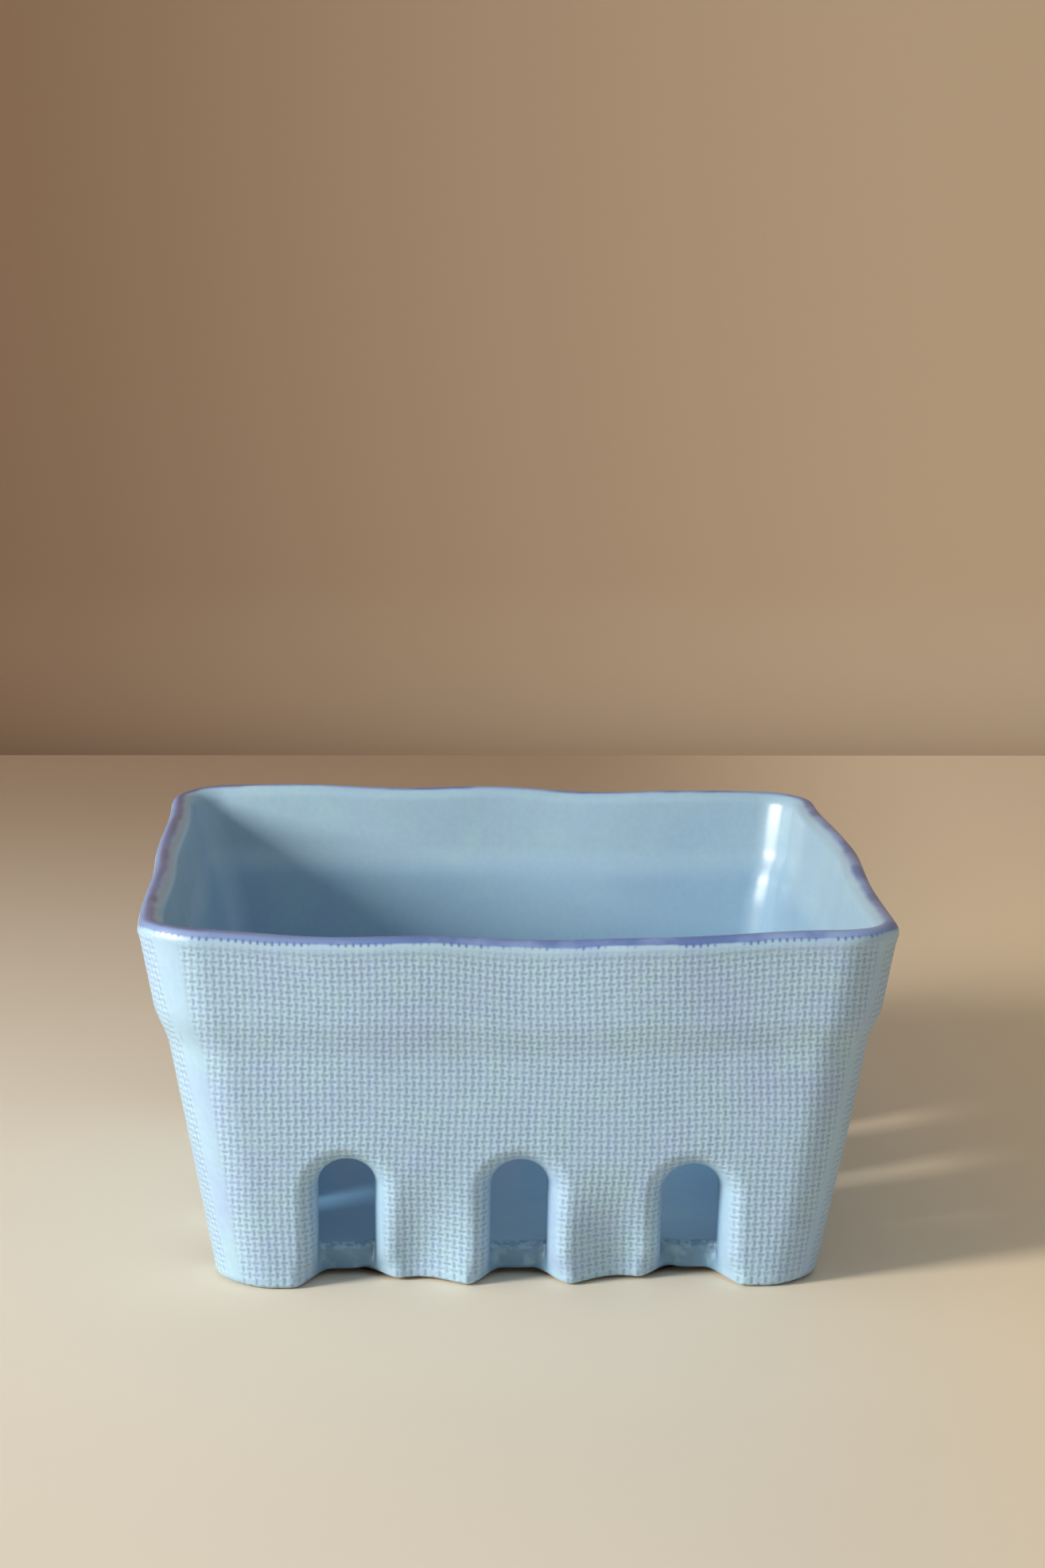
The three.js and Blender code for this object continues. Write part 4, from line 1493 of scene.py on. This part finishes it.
# The paint turns lighter, lavender, towards the left side of the rim.
LAVENDER_SIDE = (-0.012, -0.055)
LAVENDER_SIDE_SHARE = 0.8
BARE_SIDE = (-0.035, -0.060)
WOBBLES = {"scale": 120.0, "start": 0.3, "end": 0.7, "low": -0.022, "high": 0.022}
BRISTLES = {"scale": 70.0, "detail": 4.0, "start": 0.40, "end": 0.60}
TICK_PATCHES = {"scale": 240.0, "start": 0.38, "end": 0.55, "high": 0.85}
BARE_PATCHES = {"scale": 75.0, "start": 0.3, "end": 0.7, "low": 0.6, "high": 0.95}
PALE_PATCHES = {"scale": 95.0, "start": 0.35, "end": 0.65, "low": 0.15, "high": 0.75}
RIM_SPECKS = 0.6
RIM_GLOSS_SPAN = (0.1, 0.8)
RIM_ROUGHNESS = 0.36

rim_glaze, tree, shader = new_finish("violet brush line on the rim")
place = object_place(tree)
sideways = axes(tree, place)["X"]
marks = glaze_marks(tree)
section = marks["Z"]
brushed = calculate(tree, "ADD", section, patchy(tree, place, **WOBBLES))

lavender_to_left = smooth_range(tree, sideways, *LAVENDER_SIDE, 0.0, LAVENDER_SIDE_SHARE)
lavender_share = calculate(tree, "MAXIMUM", patchy(tree, place, **BRISTLES), lavender_to_left)
paint_colour = blend_colours(tree, lavender_share, BRUSH_BLUE, BRUSH_LAVENDER)
on_top = smooth_range(tree, section, *TOP_START)
on_left = smooth_range(tree, sideways, *BARE_SIDE)
bare_share = product(tree, on_top, on_left, patchy(tree, place, **BARE_PATCHES))
paint_colour = blend_colours(tree, bare_share, paint_colour, TOP_MAUVE)

thread_ridge = calculate(tree, "ABSOLUTE", thread_wave(tree, axes(tree, thread_map(tree))["X"]))
thread_line = calculate(tree, "POWER", thread_ridge, THREAD_SHARPNESS)
tick_band = band(tree, brushed, TICK_START, TICK_END)
ticks = product(tree, thread_line, patchy(tree, place, **TICK_PATCHES), tick_band)

colour, reliefs = printed_glaze(tree, place, marks)
# A pale line below the paint, in places: partly thin glaze, partly painted highlight.
rim_pale_and_highlight = product(tree, patchy(tree, place, **PALE_PATCHES), band(tree, brushed, PALE_START, PALE_END))
colour = blend_colours(tree, rim_pale_and_highlight, colour, PALE_LINE_AND_HIGHLIGHT)
line_share = band(tree, section, INNER_LINE_START, INNER_LINE_END, INNER_LINE_SHARE)
inside_colour = blend_colours(tree, line_share, inside_glaze(tree, place), INNER_LINE)
colour = blend_colours(tree, smooth_range(tree, section, *INSIDE_START), colour, inside_colour)
colour = blend_colours(tree, band(tree, brushed, PAINT_START, PAINT_END), colour, paint_colour)
colour = blend_colours(tree, ticks, colour, TICK_BLUE)
roughness = smooth_range(tree, section, *RIM_GLOSS_SPAN, RIM_ROUGHNESS, INSIDE_ROUGHNESS)
dress(tree, shader, specked(tree, place, colour, RIM_SPECKS), roughness, reliefs)
print(rim_glaze.name, "has", len(tree.nodes), "nodes")

# %% [markdown]
# ## Glaze of the floor, and bare clay
# On the floor the glaze lies thickest, a deep glossy blue that turns darker along the walls, with painted
# shade towards the left. The foot and the underside are wiped clean before firing so that they don't stick
# to the kiln shelf, and show the buff, slightly gritty clay with larger specks than the glaze lets through.

# %% Floor glaze and bare clay
FLOOR_COLOURS = {
    "body": linear("98C6E3"), "cool_patches": linear("92BEE3"), "green_patches": linear("9ECCE1")}
# Darker blue for the floor along the walls, and painted shade towards its left side.
FLOOR_DARK_AND_SHADE = linear("6897BB")
WALL_DARKENING_START = 0.030
WALL_DARKENING_END = 0.056
WALL_DARKENING_SHARE = 0.7
SHADED_SIDE = (0.045, -0.040)
SIDE_SHADE_SHARE = 0.9
FLOOR_SPECKS = 0.25
FLOOR_RIPPLES = (0.2, 0.8)
FLOOR_ROUGHNESS = (0.29, 0.34)
CLAY_LIGHT = linear("D3C6B0")
CLAY_DARK = linear("BBA98F")
CLAY_PATCHES = {"scale": 60.0, "detail": 3.0, "start": 0.3, "end": 0.7}
CLAY_SPECKS = 1.0
CLAY_SPECK_RADIUS = 0.00026
CLAY_ROUGHNESS = (0.78, 0.92)
GRIT_NOISE = {"scale": 1300.0, "detail": 4.0, "roughness": 0.6}
GRIT_SPAN = (0.3, 0.7)
GRIT_HEIGHT = 0.00012

floor_glaze, tree, shader = new_finish("deep blue glaze on the floor")
place = object_place(tree)
spread = axes(tree, place)
glaze = use_group(tree, kiln_glaze, place=place, **FLOOR_COLOURS)
far_across = calculate(tree, "ABSOLUTE", spread["X"])
far_along = calculate(tree, "ABSOLUTE", spread["Y"])
far_out = calculate(tree, "MAXIMUM", far_across, far_along)
at_walls = smooth_range(tree, far_out, WALL_DARKENING_START, WALL_DARKENING_END, 0.0, WALL_DARKENING_SHARE)
# Painted shade towards the left of the floor.
painted_side_shade = smooth_range(tree, spread["X"], *SHADED_SIDE, 0.0, SIDE_SHADE_SHARE)
dark_and_shade_share = calculate(tree, "MAXIMUM", at_walls, painted_side_shade)
colour = blend_colours(tree, dark_and_shade_share, glaze["Colour"], FLOOR_DARK_AND_SHADE)
roughness = smooth_range(tree, glaze["Ripple"], *FLOOR_RIPPLES, *FLOOR_ROUGHNESS)
dress(tree, shader, specked(tree, place, colour, FLOOR_SPECKS), roughness)

bare_clay, tree, shader = new_finish("bare buff stoneware")
place = object_place(tree)
grit = cloudy(tree, place, **GRIT_NOISE)
colour = blend_colours(tree, patchy(tree, place, **CLAY_PATCHES), CLAY_LIGHT, CLAY_DARK)
colour = specked(tree, place, colour, CLAY_SPECKS, CLAY_SPECK_RADIUS)
roughness = smooth_range(tree, grit, *GRIT_SPAN, *CLAY_ROUGHNESS)
dress(tree, shader, colour, roughness, ((grit, GRIT_HEIGHT),))
print("Finishes:", floor_glaze.name, "and", bare_clay.name)

# %% [markdown]
# ## Joining looks and frame
# Each piece gets its glaze and the bare clay, rides on the one body of the part, and stands in for the CAD
# node of the same name, which is then no longer shown. The name of the finish each piece takes is printed
# beside it.

FINISHES = {"rim_coil": ("rim_glaze", rim_glaze), "floor_slab": ("floor_glaze", floor_glaze)}
for node, piece in pieces.items():
    slot_name, glaze = FINISHES.get(node, ("wall_glaze", wall_glaze))
    piece.data.materials.append(glaze)
    piece.data.materials.append(bare_clay)
    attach(piece, "root")
    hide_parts(node)
    print(f"{piece.name}: replaces {node}, finish {slot_name}")
